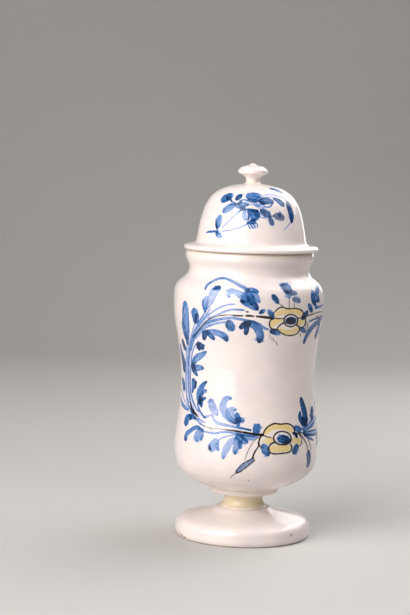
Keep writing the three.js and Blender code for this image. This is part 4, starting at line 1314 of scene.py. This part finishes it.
def glaze_material(name, settings, cream, roughness):
    """Tin-glazed earthenware: a white opaque glaze over clay, painted while it was raw.

    Its soft white hides the clay and carries mirror-like highlights that break up a little
    over the orange-peel skin; the paint has sunk in, so strokes are as glossy as the ground,
    blotchy inside and hazy at their edges. Where the glaze is missing the clay is matt.
    """
    material, tree, place = new_material(name)
    paint = node(tree, "ShaderNodeAttribute", attribute_name="painting")
    cobalt, yellow, outline = node(tree, "ShaderNodeSeparateXYZ", {
        0: paint.outputs["Vector"]}).outputs
    surface = node(tree, "ShaderNodeAttribute", attribute_name="surface")
    bare, creamy, _ = node(tree, "ShaderNodeSeparateXYZ", {0: surface.outputs["Vector"]}).outputs
    noise = {}
    for what, (width, detail, rough) in NOISES.items():
        noise[what] = node(tree, "ShaderNodeTexNoise", {
            "Vector": place, "Scale": 1 / (width * MM), "Detail": detail, "Roughness": rough})
    sway = {}
    for what, (source, low, high, least, most) in SWAYS.items():
        about = roughness if what == "gloss" else 0
        sway[what] = node(tree, "ShaderNodeMapRange", {
            0: noise[source], 1: low, 2: high, 3: about + least, 4: about + most})

    # Yellowed glaze fades out over the stem's neighbours, and its whiter flare is a painted sheen
    aged = node(tree, "ShaderNodeMath", {0: creamy, 1: cream}, operation="ADD")
    aged = node(tree, "ShaderNodeMath", {0: sway["uneven"], 1: aged, 2: aged},
                operation="MULTIPLY_ADD", use_clamp=True)

    # Water thins or deepens every pigment; cobalt goes from a wash to nearly black
    water = node(tree, "ShaderNodeMath", {0: sway["water"], 1: sway["fine"]},
                 operation="MULTIPLY")
    yellowed = node(tree, "ShaderNodeMath", {0: yellow, 1: water}, operation="MULTIPLY")
    yellowed = node(tree, "ShaderNodeMath", {0: yellowed, 1: YELLOW_SHARE}, operation="MULTIPLY",
                    use_clamp=True)
    lined = node(tree, "ShaderNodeMath", {0: outline, 1: water}, operation="MULTIPLY",
                 use_clamp=True)
    laid = node(tree, "ShaderNodeMath", {0: cobalt, 1: water}, operation="MULTIPLY")
    tone = node(tree, "ShaderNodeMath", {0: laid, 1: 1 / COBALT_END}, operation="MULTIPLY")
    blues = node(tree, "ShaderNodeValToRGB", {0: tone})
    ramp = blues.color_ramp
    while len(ramp.elements) < len(COBALT_RAMP):
        ramp.elements.new(1.0)
    for element, (position, tint) in zip(ramp.elements, COBALT_RAMP):
        element.position, element.color = position, (*getattr(settings, tint), 1)
    blued = node(tree, "ShaderNodeMapRange", {0: laid, 1: 0.0, 2: BLUE_FULL, 3: 0.0, 4: 1.0})

    # Specks of iron up to 0.5 mm in radius in one of five 9 mm cells, and pinholes of 0.2 mm
    cells = node(tree, "ShaderNodeTexVoronoi", {"Vector": place, "Scale": 1 / SPECK_CELL})
    pick = node(tree, "ShaderNodeSeparateColor", {0: cells.outputs["Color"]})
    size = node(tree, "ShaderNodeMapRange", {
        0: pick, 1: SPECKLESS, 2: 1.0, 3: 0.0, 4: SPECK_RADIUS})
    speck = node(tree, "ShaderNodeMath", {0: size, 1: cells.outputs["Distance"]},
                 operation="SUBTRACT")
    speck = node(tree, "ShaderNodeMapRange", {
        0: speck, 1: -SPECK_EDGE, 2: SPECK_EDGE, 3: 0.0, 4: SPECK_COVER})
    holes = node(tree, "ShaderNodeTexVoronoi", {"Vector": place, "Scale": 1 / HOLE_CELL})
    hole = node(tree, "ShaderNodeMapRange", {
        0: holes.outputs["Distance"], 1: HOLE_RADII[0], 2: HOLE_RADII[1], 3: 1.0, 4: 0.0})

    # Clay shows where the glaze was wiped or broken off, with a ragged edge
    worn = node(tree, "ShaderNodeMath", {0: bare, 1: sway["ragged"]}, operation="ADD")
    lost = node(tree, "ShaderNodeMapRange", {0: worn, 1: LOST_RANGE[0], 2: LOST_RANGE[1]})
    clay = node(tree, "ShaderNodeVectorMath", {
        0: tuple(settings.biscuit), "Scale": sway["clay tone"]}, operation="SCALE")

    # Coat over coat, each as what covers and its colour
    coat = (*settings.white, 1)
    for cover, over in ((sway["thin"], (*settings.grey, 1)), (aged, (*settings.cream, 1)),
                        (yellowed, (*settings.yellow, 1)), (blued, blues),
                        (lined, (*settings.outline, 1)), (speck, (*settings.iron, 1)),
                        (lost, clay)):
        coat = node(tree, "ShaderNodeMix", {0: cover, 6: coat, 7: over},
                    data_type="RGBA").outputs[2]
    rough = node(tree, "ShaderNodeMix", {
        0: lost, 2: sway["gloss"], 3: CLAY_ROUGHNESS}, data_type="FLOAT")

    high = node(tree, "ShaderNodeMath", {0: noise["peel"], 1: PEEL}, operation="MULTIPLY")
    high = node(tree, "ShaderNodeMath", {0: hole, 1: -PINHOLE, 2: high},
                operation="MULTIPLY_ADD")
    gritty = node(tree, "ShaderNodeMath", {0: noise["clay"], 1: GRITTY}, operation="MULTIPLY")
    high = node(tree, "ShaderNodeMath", {0: gritty, 1: lost, 2: high}, operation="MULTIPLY_ADD")
    bump = node(tree, "ShaderNodeBump", {"Height": high, "Distance": 1.0, "Strength": 1.0})
    shader = node(tree, "ShaderNodeBsdfPrincipled", {
        "Base Color": coat, "Roughness": rough, "Normal": bump,
        "IOR": GLASS_IOR, "Metallic": 0.0})
    node(tree, "ShaderNodeOutputMaterial", {0: shader})
    return material


def iron_material(name, settings):
    """Iron grit under glaze: dark brown grains that the glaze keeps shiny and partly veils."""
    material, tree, place = new_material(name)
    cloud = node(tree, "ShaderNodeTexNoise", {"Vector": place, "Scale": 1 / VEIL_CLOUD})
    paler = node(tree, "ShaderNodeMapRange", {
        0: cloud, 1: VEIL_RANGE[0], 2: VEIL_RANGE[1], 3: VEIL_SHARES[0], 4: VEIL_SHARES[1]})
    mixed = node(tree, "ShaderNodeMix", {
        0: paler, 6: (*settings.iron, 1), 7: (*settings.grey, 1)}, data_type="RGBA")
    shader = node(tree, "ShaderNodeBsdfPrincipled", {
        "Base Color": mixed.outputs[2], "Roughness": IRON_ROUGHNESS, "IOR": GLASS_IOR})
    node(tree, "ShaderNodeOutputMaterial", {0: shader})
    return material


def materials(context):
    """The white glaze, the yellowed glaze and the iron, made once."""
    settings = context.scene.jar_glaze
    names = ("Tin glaze", "Yellowed tin glaze", "Iron grit under glaze")
    if names[0] not in bpy.data.materials:
        glaze_material(names[0], settings, cream=0.0, roughness=0.14)
        glaze_material(names[1], settings, cream=0.45, roughness=0.17)
        iron_material(names[2], settings)
    return [bpy.data.materials[name] for name in names]


def outline_curve(name, curve, lean):
    """The outline as a curve object for the tree: radius, lean and height in metres."""
    data = bpy.data.curves.new(name, "CURVE")
    data.dimensions = "3D"
    spline = data.splines.new("POLY")
    spline.points.add(len(curve) - 1)
    radius, height = curve.T
    weight = np.full(len(curve), 1 / MM)
    points = np.column_stack([radius, leaning(lean, height), height, weight]) * MM
    spline.points.foreach_set("co", points.ravel())
    return placed(name, data)


def throw(context, name, cad_node, lean, seed, material, dress, strokes=None,
          row=None, columns=None, ring_share=1.0):
    """Throw one piece round its CAD node's outline and put it in the node's place.

    dress marks what the glaze does on it. strokes are the heights that they lie between and
    their groups. row, columns and ring_share change the throwing settings for it.
    """
    throwing, brush = context.scene.jar_throwing, context.scene.jar_brush
    curve, stops = thrown_outline(node_outline(cad_node), throwing.rounding / MM)
    girth = curve[:, 0].max()
    sheet = Sheet(curve, stops, columns or throwing.columns, (row or throwing.row) / MM, girth)
    if strokes:
        between, groups = strokes
        part = slice(curve[:, 1].argmin(), curve[:, 1].argmax() + 1)
        first, last = np.interp(between, curve[part, 1], sheet.along[part])
        low_row = sheet.rows[sheet.rows >= first][0]
        high_row = sheet.rows[sheet.rows <= last][-1]
        draw = np.random.default_rng(brush.seed + seed)
        laid = [Stroke(sheet, pigment, points, low_row, high_row, brush.feather / MM,
                       brush.hair / MM, draw)
                for pigment, *passes in groups for points in passes]
        sheet.add_rows(0, low_row)
        sheet.add_cut(low_row, high_row, laid)
        sheet.add_rows(high_row, sheet.rows[-1])
    else:
        laid = []
        sheet.add_rows(0, sheet.rows[-1])
    points = np.array(sheet.points)
    paint = np.zeros((len(points), 3))
    for pigment in (YELLOW, COBALT, OUTLINE):
        for stroke in laid:
            if stroke.pigment == pigment:
                stroke.lay(points, sheet, paint)
    sheet.marks["painting"] = paint
    surface = np.zeros((len(points), 3))
    dress(sheet, points, surface)
    sheet.marks["surface"] = surface
    mesh = sheet.mesh(name)
    mesh.shade_smooth()
    if strokes:
        # The bake's map: the sheet as it lies, so the painting gets most of it
        layer = mesh.uv_layers.new(name="OFBake")
        corners = np.zeros(len(mesh.loops), int)
        mesh.loops.foreach_get("vertex_index", corners)
        across = points[corners, 0] / (math.tau * girth) + 0.5
        upward = points[corners, 1] / sheet.along[-1]
        layer.data.foreach_set("uv", np.column_stack([across, upward]).astype(np.float32).ravel())
    piece = placed(name, mesh)
    guide = outline_curve(name + "_outline", curve, lean)
    baked(piece, shared_tree("Thrown wall", thrown_wall_tree), {
        "Outline": guide, "Length": sheet.along[-1] * MM, "Wobble": throwing.wobble,
        "Ring depth": throwing.ring_depth * ring_share, "Ring pitch": throwing.ring_pitch,
        "Chip depth": throwing.chip_depth, "Seed": float(seed), "Weld": WELD,
        "Glaze": material})
    bpy.data.curves.remove(guide.data)
    body = next(b for b, nodes in frame["record"]["behaviour"]["bodies"].items()
                if cad_node in nodes)
    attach(piece, body)
    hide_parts(cad_node)


# The columns of a wall's surface marks: how bare of glaze, how yellowed, how deeply chipped
BARE, CREAM, CHIPPED = 0, 1, 2


def band(values, start, end):
    """A ramp from 0 at start to 1 at end."""
    return np.clip((values - start) / (end - start), 0, 1)


# Chips and one pit at the foot's edge, as degrees round from the front, height and radius in mm,
# and how deep they are as a share of the setting
CHIPS = ((-63, 2.4, 2.0), (-67, 4.4, 1.3), (-58, 1.4, 1.7), (-71, 1.6, 1.4), (46, 8.5, 1.3),
         (104, 1.8, 2.2), (187, 1.2, 1.5), (231, 0.9, 1.6))
CHIP_SHARE = 0.6
# Nearer the axis than this, in mm, the foot is out of the chips' reach, by this much
FOOT_INSIDE, OUT_OF_REACH = 40, 9
# A chip fades in from this many of its radii off its middle to this many
CHIP_FADE = (1.3, 0.5)

# Where bare clay and cream glaze fade in, in mm: from none at the first place to all at the
# second. Places are heights over the table, and distances from the axis where a name says radii.
# The foot is bare underneath within UNDERSIDE_RADIUS, and the flange beyond BEZEL_RADIUS.
RING_BARE, UNDERSIDE_RADIUS = (1.1, 0.3), 52
FOOT_CREAM_RADII, FOOT_CREAM = (23, 19), 0.35
# Where the stem spreads into its neighbours its cream is taken away, up to this much: painted sheen
# for the light on the flare
STEM_SHEEN_RADII, SHEEN_WHITENING = (17.6, 19.8), 0.35
SEAT_BARE = (238.1, 238.8)
LIP_CREAM_HEIGHTS, LIP_CREAM = (234, 237.5), 0.35
BOTTOM_CREAM, COLLAR_CREAM = (50, 42), 0.15
FLANGE_BARE, FLANGE_RADII, BEZEL_RADIUS = (238.9, 238.3), (52.8, 51.4), 39
KNOB_LUTED, KNOB_CREAM = (297, 293.5), 0.4
# The body's bottom is bare inside this height and radius, where the collar is luted on
LUTED_HEIGHT, LUTED_RADIUS = 42.5, 29.5
# The stem's cream fades in between these distances from its middle, as shares of its length
STEM_WAIST, WAIST_CREAM = (0.4, 0.15), 0.5


def dress_foot(sheet, points, surface):
    """Bare clay under the foot, cream glaze towards the stem and chips at the edge."""
    height, radius = sheet.height(points[:, 1]), sheet.radius(points[:, 1])
    under = points[:, 1] < sheet.along[sheet.curve[:, 0].argmax()]
    surface[:, BARE] = np.where(under, band(height, *RING_BARE), 0)
    surface[:, BARE] = np.where(under & (radius < UNDERSIDE_RADIUS), 1.0, surface[:, BARE])
    surface[:, CREAM] = np.where(under, 0, FOOT_CREAM * band(radius, *FOOT_CREAM_RADII))
    turn = points[:, 0] / sheet.girth
    for degrees, high, size in CHIPS:
        beside = (turn - math.radians(degrees) + math.pi) % math.tau - math.pi
        off = np.hypot(beside * radius, height - high) + OUT_OF_REACH * (radius < FOOT_INSIDE)
        broken = band(off, size * CHIP_FADE[0], size * CHIP_FADE[1])
        surface[:, BARE] = np.maximum(surface[:, BARE], broken)
        surface[:, CHIPPED] = np.maximum(surface[:, CHIPPED], CHIP_SHARE * broken)


def dress_stem(sheet, points, surface):
    """Yellowest half way up, and whiter where the stem spreads into its neighbours: a painted sheen
    of the light on the flare.
    """
    share = points[:, 1] / sheet.along[-1]
    # Painted sheen: the cream is taken away where the stem spreads
    sheen = band(sheet.radius(points[:, 1]), *STEM_SHEEN_RADII)
    waist = band(np.abs(share - 0.5), *STEM_WAIST)
    surface[:, CREAM] = WAIST_CREAM * waist * (1 - sheen) - SHEEN_WHITENING * sheen


def dress_collar(sheet, points, surface):
    """A little cream glaze all over."""
    surface[:, CREAM] = COLLAR_CREAM


def dress_body(sheet, points, surface):
    """Bare clay on the lid's seat and where the collar is luted on, and cream glaze beside both."""
    height, radius = sheet.height(points[:, 1]), sheet.radius(points[:, 1])
    luted = (height < LUTED_HEIGHT) & (radius < LUTED_RADIUS)
    surface[:, BARE] = np.where(luted, 1.0, band(height, *SEAT_BARE))
    outside = points[:, 1] < sheet.along[sheet.curve[:, 1].argmax()]
    surface[:, CREAM] = (COLLAR_CREAM * band(height, *BOTTOM_CREAM)
                         + LIP_CREAM * outside * band(height, *LIP_CREAM_HEIGHTS))


def dress_dome(sheet, points, surface):
    """Bare clay on the flange's underside, from the bezel to short of the edge."""
    height, radius = sheet.height(points[:, 1]), sheet.radius(points[:, 1])
    surface[:, BARE] = (band(height, *FLANGE_BARE) * (radius > BEZEL_RADIUS)
                        * band(radius, *FLANGE_RADII))


def dress_bezel(sheet, points, surface):
    """Bare clay all over."""
    surface[:, BARE] = 1.0


def dress_knob(sheet, points, surface):
    """A little cream glaze where the stalk was luted on."""
    surface[:, CREAM] = KNOB_CREAM * band(sheet.height(points[:, 1]), *KNOB_LUTED)


# Seeds of the walls' wobble, one for the jar and one for the lid, so that luted pieces match
JAR_SEED, LID_SEED = 3, 8


class JAR_OT_foot(bpy.types.Operator):
    """Throw the foot, the stem and the collar"""
    bl_idname = "jar.foot"
    bl_label = "Foot, stem and collar"

    def execute(self, context):
        white, cream, _ = materials(context)
        throw(context, "thrown_foot", "foot_disc", JAR_LEAN, JAR_SEED, white,
              dress_foot, row=1.0 * MM, columns=320)
        throw(context, "thrown_stem", "stem", JAR_LEAN, JAR_SEED, cream,
              dress_stem, row=1.0 * MM, ring_share=2.0)
        throw(context, "turned_collar", "base_collar", JAR_LEAN, JAR_SEED, white,
              dress_collar, row=1.0 * MM)
        return {"FINISHED"}


def beyond(points, limit):
    """The part of a stroke that lies beyond a number of degrees, cut where it crosses them."""
    kept = []
    for one, other in zip(points, [*points[1:], None]):
        if one[0] > limit:
            kept.append(one)
        if other and (one[0] - limit) * (other[0] - limit) < 0:
            share = (limit - one[0]) / (other[0] - one[0])
            kept.append(tuple(a + share * (b - a) for a, b in zip(one, other)))
    return kept


class JAR_OT_body(bpy.types.Operator):
    """Throw the body and paint its wreath"""
    bl_idname = "jar.body"
    bl_label = "Painted body"

    def execute(self, context):
        white = materials(context)[0]
        hidden = []
        for pigment, *passes in WREATH:
            for points in passes:
                turned = [(2 * PANEL_MIDDLE - degrees, *rest) for degrees, *rest in points]
                turned = beyond(turned, HIDDEN_SIDE)
                if len(turned) > 1:
                    hidden.append((pigment, turned))
        throw(context, "painted_body", "jar_body", JAR_LEAN, JAR_SEED, white,
              dress_body, strokes=(WREATH_BETWEEN, [*WREATH, *hidden]))
        return {"FINISHED"}


class JAR_OT_lid(bpy.types.Operator):
    """Throw the lid's dome, bezel and knob, and paint the dome's spray"""
    bl_idname = "jar.lid"
    bl_label = "Painted lid"

    def execute(self, context):
        white = materials(context)[0]
        throw(context, "painted_dome", "lid_dome", LID_LEAN, LID_SEED, white,
              dress_dome, row=1.3 * MM, strokes=(SPRAY_BETWEEN, SPRAY))
        throw(context, "bare_bezel", "lid_bezel", LID_LEAN, LID_SEED, white,
              dress_bezel)
        throw(context, "turned_knob", "lid_knob", LID_LEAN, LID_SEED, white,
              dress_knob, row=0.6 * MM, columns=96)
        return {"FINISHED"}


# Grains of iron on a square metre of wall, and their smallest and largest radius
GRAINS = 700.0
SMALLEST, LARGEST = 0.12 * MM, 0.38 * MM


class JAR_OT_grit(bpy.types.Operator):
    """Scatter grains of iron over the jar and the lid"""
    bl_idname = "jar.grit"
    bl_label = "Iron grit"

    def execute(self, context):
        iron = materials(context)[2]
        for body, wall, seed in (("jar", "painted_body", 4), ("lid", "painted_dome", 9)):
            grit = placed("iron_grit_" + body, bpy.data.objects[wall].data.copy())
            baked(grit, shared_tree("Grit", grit_tree), {
                "Grains": GRAINS, "Smallest": SMALLEST, "Largest": LARGEST, "Seed": seed,
                "Iron": iron})
            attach(grit, body)
        return {"FINISHED"}


# The floor's half width and its front edge, how far back it starts to curve up and in what
# radius, and how high the backdrop goes, in metres
PAPER_HALF, PAPER_FRONT = 6.0, -4.0
SWEEP_START, SWEEP_RADIUS = 1.2, 0.8
PAPER_TOP = 4.0
SWEEP_STEPS = 17
# The paper's fibres: their width, the part of the noise that is used, and how far they dull it
FIBRE_WIDTH, FIBRE_RANGE, FIBRE_DULLEST = 2 * MM, (0.3, 0.7), 0.985
PAPER_ROUGHNESS = 0.8
# The width of the camera's frame in mm, and how far it sees in metres
FRAME_WIDTH, VIEW_END = 36.0, 50.0

# Each light stands at an angle round from the camera, so far off the axis and so high, is aimed
# at a height on the axis, and has a size, a power setting and a colour. The card and the low
# panel are there only for their mirror images in the glaze, and the fill leaves none.
LIGHTS = (
    ("key light", -56, 1.5, 0.75, 0.16, (1.1, 1.3), "key", "#FFFBF6", True, True),
    ("front light", -28, 1.75, 1.0, 0.16, (1.0, 1.0), "front", "#FFFAF6", True, True),
    ("over light", -35, 0.9, 1.5, 0.16, (0.9, 0.9), "over", "#FFFBF6", True, True),
    ("card", -37, 0.56, 0.36, 0.36, (0.36, 0.70), "card", "#FFFFFF", False, True),
    ("top light", 112, 0.75, 1.32, 0.16, (1.25, 1.1), "top", "#FFFFFF", True, True),
    ("edge light", 140, 1.1, 0.95, 0.16, (1.0, 0.9), "edge", "#FFFDFA", True, True),
    ("low panel", 162, 1.0, 0.47, 0.16, (0.4, 0.55), "low", "#FFFFFF", False, True),
    ("fill", 32, 0.55, 0.62, 0.25, (0.3, 0.3), "fill", "#FFFAF6", True, False))


def set_camera(context, view):
    """The camera: turned, tilted and rolled about its lens."""
    camera = bpy.data.cameras.new("camera")
    camera.lens, camera.sensor_width, camera.clip_end = view.lens, FRAME_WIDTH, VIEW_END
    seen = placed("camera", camera)
    forward = Vector((-math.sin(view.yaw) * math.cos(view.pitch),
                      math.cos(view.yaw) * math.cos(view.pitch), -math.sin(view.pitch)))
    right = Vector((math.cos(view.yaw), math.sin(view.yaw), 0))
    up = right.cross(forward)
    rolled = math.cos(view.roll) * right + math.sin(view.roll) * up
    upright = math.cos(view.roll) * up - math.sin(view.roll) * right
    seen.matrix_world = Matrix((
        (rolled.x, upright.x, -forward.x, -view.left),
        (rolled.y, upright.y, -forward.y, -view.distance),
        (rolled.z, upright.z, -forward.z, view.height), (0, 0, 0, 1)))
    context.scene.camera = seen


def paper_material(tint):
    """Backdrop paper: matt and pale, with fibres that dull it by a hair."""
    material, tree, place = new_material("Backdrop paper")
    fibre = node(tree, "ShaderNodeTexNoise", {
        "Vector": place, "Scale": 1 / FIBRE_WIDTH, "Detail": 3.0})
    shade = node(tree, "ShaderNodeMapRange", {
        0: fibre, 1: FIBRE_RANGE[0], 2: FIBRE_RANGE[1], 3: FIBRE_DULLEST, 4: 1.0})
    paper = node(tree, "ShaderNodeVectorMath", {0: tuple(tint), "Scale": shade},
                 operation="SCALE")
    shader = node(tree, "ShaderNodeBsdfPrincipled", {
        "Base Color": paper, "Roughness": PAPER_ROUGHNESS})
    node(tree, "ShaderNodeOutputMaterial", {0: shader})
    return material


def lay_paper(material):
    """The floor, which curves up into the backdrop."""
    back = SWEEP_START + SWEEP_RADIUS
    sweep = [(SWEEP_START + SWEEP_RADIUS * math.sin(t), SWEEP_RADIUS - SWEEP_RADIUS * math.cos(t))
             for t in np.linspace(0, math.pi / 2, SWEEP_STEPS)]
    sweep = [(PAPER_FRONT, 0.0), *sweep, (back, PAPER_TOP)]
    points = [(x, y, z) for y, z in sweep for x in (-PAPER_HALF, PAPER_HALF)]
    faces = [(2 * i, 2 * i + 1, 2 * i + 3, 2 * i + 2) for i in range(len(sweep) - 1)]
    mesh = bpy.data.meshes.new("backdrop")
    mesh.from_pydata(points, [], faces)
    mesh.shade_smooth()
    mesh.materials.append(material)
    placed("backdrop", mesh)


def hang_lights(studio):
    """The lights, and the room's own light all round."""
    for name, turn, distance, height, aimed, size, watts, tint, shades, mirrored in LIGHTS:
        light = bpy.data.lights.new(name, "AREA")
        light.shape, light.energy = "RECTANGLE", getattr(studio, watts)
        light.size, light.size_y = size
        light.color = linear(tint)
        lamp = placed(name, light)
        turn = math.radians(turn)
        lamp.location = (distance * math.sin(turn), -distance * math.cos(turn), height)
        way = Vector((0, 0, aimed)) - lamp.location
        lamp.rotation_euler = way.to_track_quat("-Z", "Y").to_euler()
        lamp.visible_camera = False
        lamp.visible_diffuse, lamp.visible_glossy = shades, mirrored
    world = bpy.data.worlds.new("room")
    world.use_nodes = True
    sky = world.node_tree.nodes["Background"].inputs
    sky["Color"].default_value = (*linear("#ECEAE8"), 1)
    sky["Strength"].default_value = studio.sky
    bpy.context.scene.world = world


class JAR_OT_stage(bpy.types.Operator):
    """Set the camera, the paper and the lights"""
    bl_idname = "jar.stage"
    bl_label = "Camera and studio"

    def execute(self, context):
        studio = context.scene.jar_studio
        set_camera(context, context.scene.jar_camera)
        lay_paper(paper_material(studio.paper))
        hang_lights(studio)
        context.scene.view_settings.view_transform = "Standard"
        return {"FINISHED"}


class JAR_PT_panel(bpy.types.Panel):
    """The jar's sizes and the steps that make it"""
    bl_idname = "JAR_PT_panel"
    bl_label = "Apothecary jar"
    bl_space_type = "VIEW_3D"
    bl_region_type = "UI"
    bl_category = "Jar"

    def draw(self, context):
        for settings in ("jar_throwing", "jar_brush", "jar_glaze", "jar_camera", "jar_studio"):
            box = self.layout.box()
            held = getattr(context.scene, settings)
            for name in held.bl_rna.properties.keys():
                if name not in ("rna_type", "name"):
                    box.prop(held, name)
        for operator in STEPS:
            self.layout.operator(operator.bl_idname)


STEPS = (JAR_OT_stage, JAR_OT_foot, JAR_OT_body, JAR_OT_lid, JAR_OT_grit)
SETTINGS = (("jar_throwing", ThrowingSettings), ("jar_brush", BrushSettings),
            ("jar_glaze", GlazeSettings), ("jar_camera", CameraSettings),
            ("jar_studio", StudioSettings))


def register():
    for name, settings in SETTINGS:
        bpy.utils.register_class(settings)
        setattr(bpy.types.Scene, name, bpy.props.PointerProperty(type=settings))
    for made in (*STEPS, JAR_PT_panel):
        bpy.utils.register_class(made)


def unregister():
    for made in (JAR_PT_panel, *reversed(STEPS)):
        bpy.utils.unregister_class(made)
    for name, settings in reversed(SETTINGS):
        delattr(bpy.types.Scene, name)
        bpy.utils.unregister_class(settings)


def main():
    register()
    bpy.ops.jar.stage()
    bpy.ops.jar.foot()
    bpy.ops.jar.body()
    bpy.ops.jar.lid()
    bpy.ops.jar.grit()


if __name__ == "__main__":
    main()
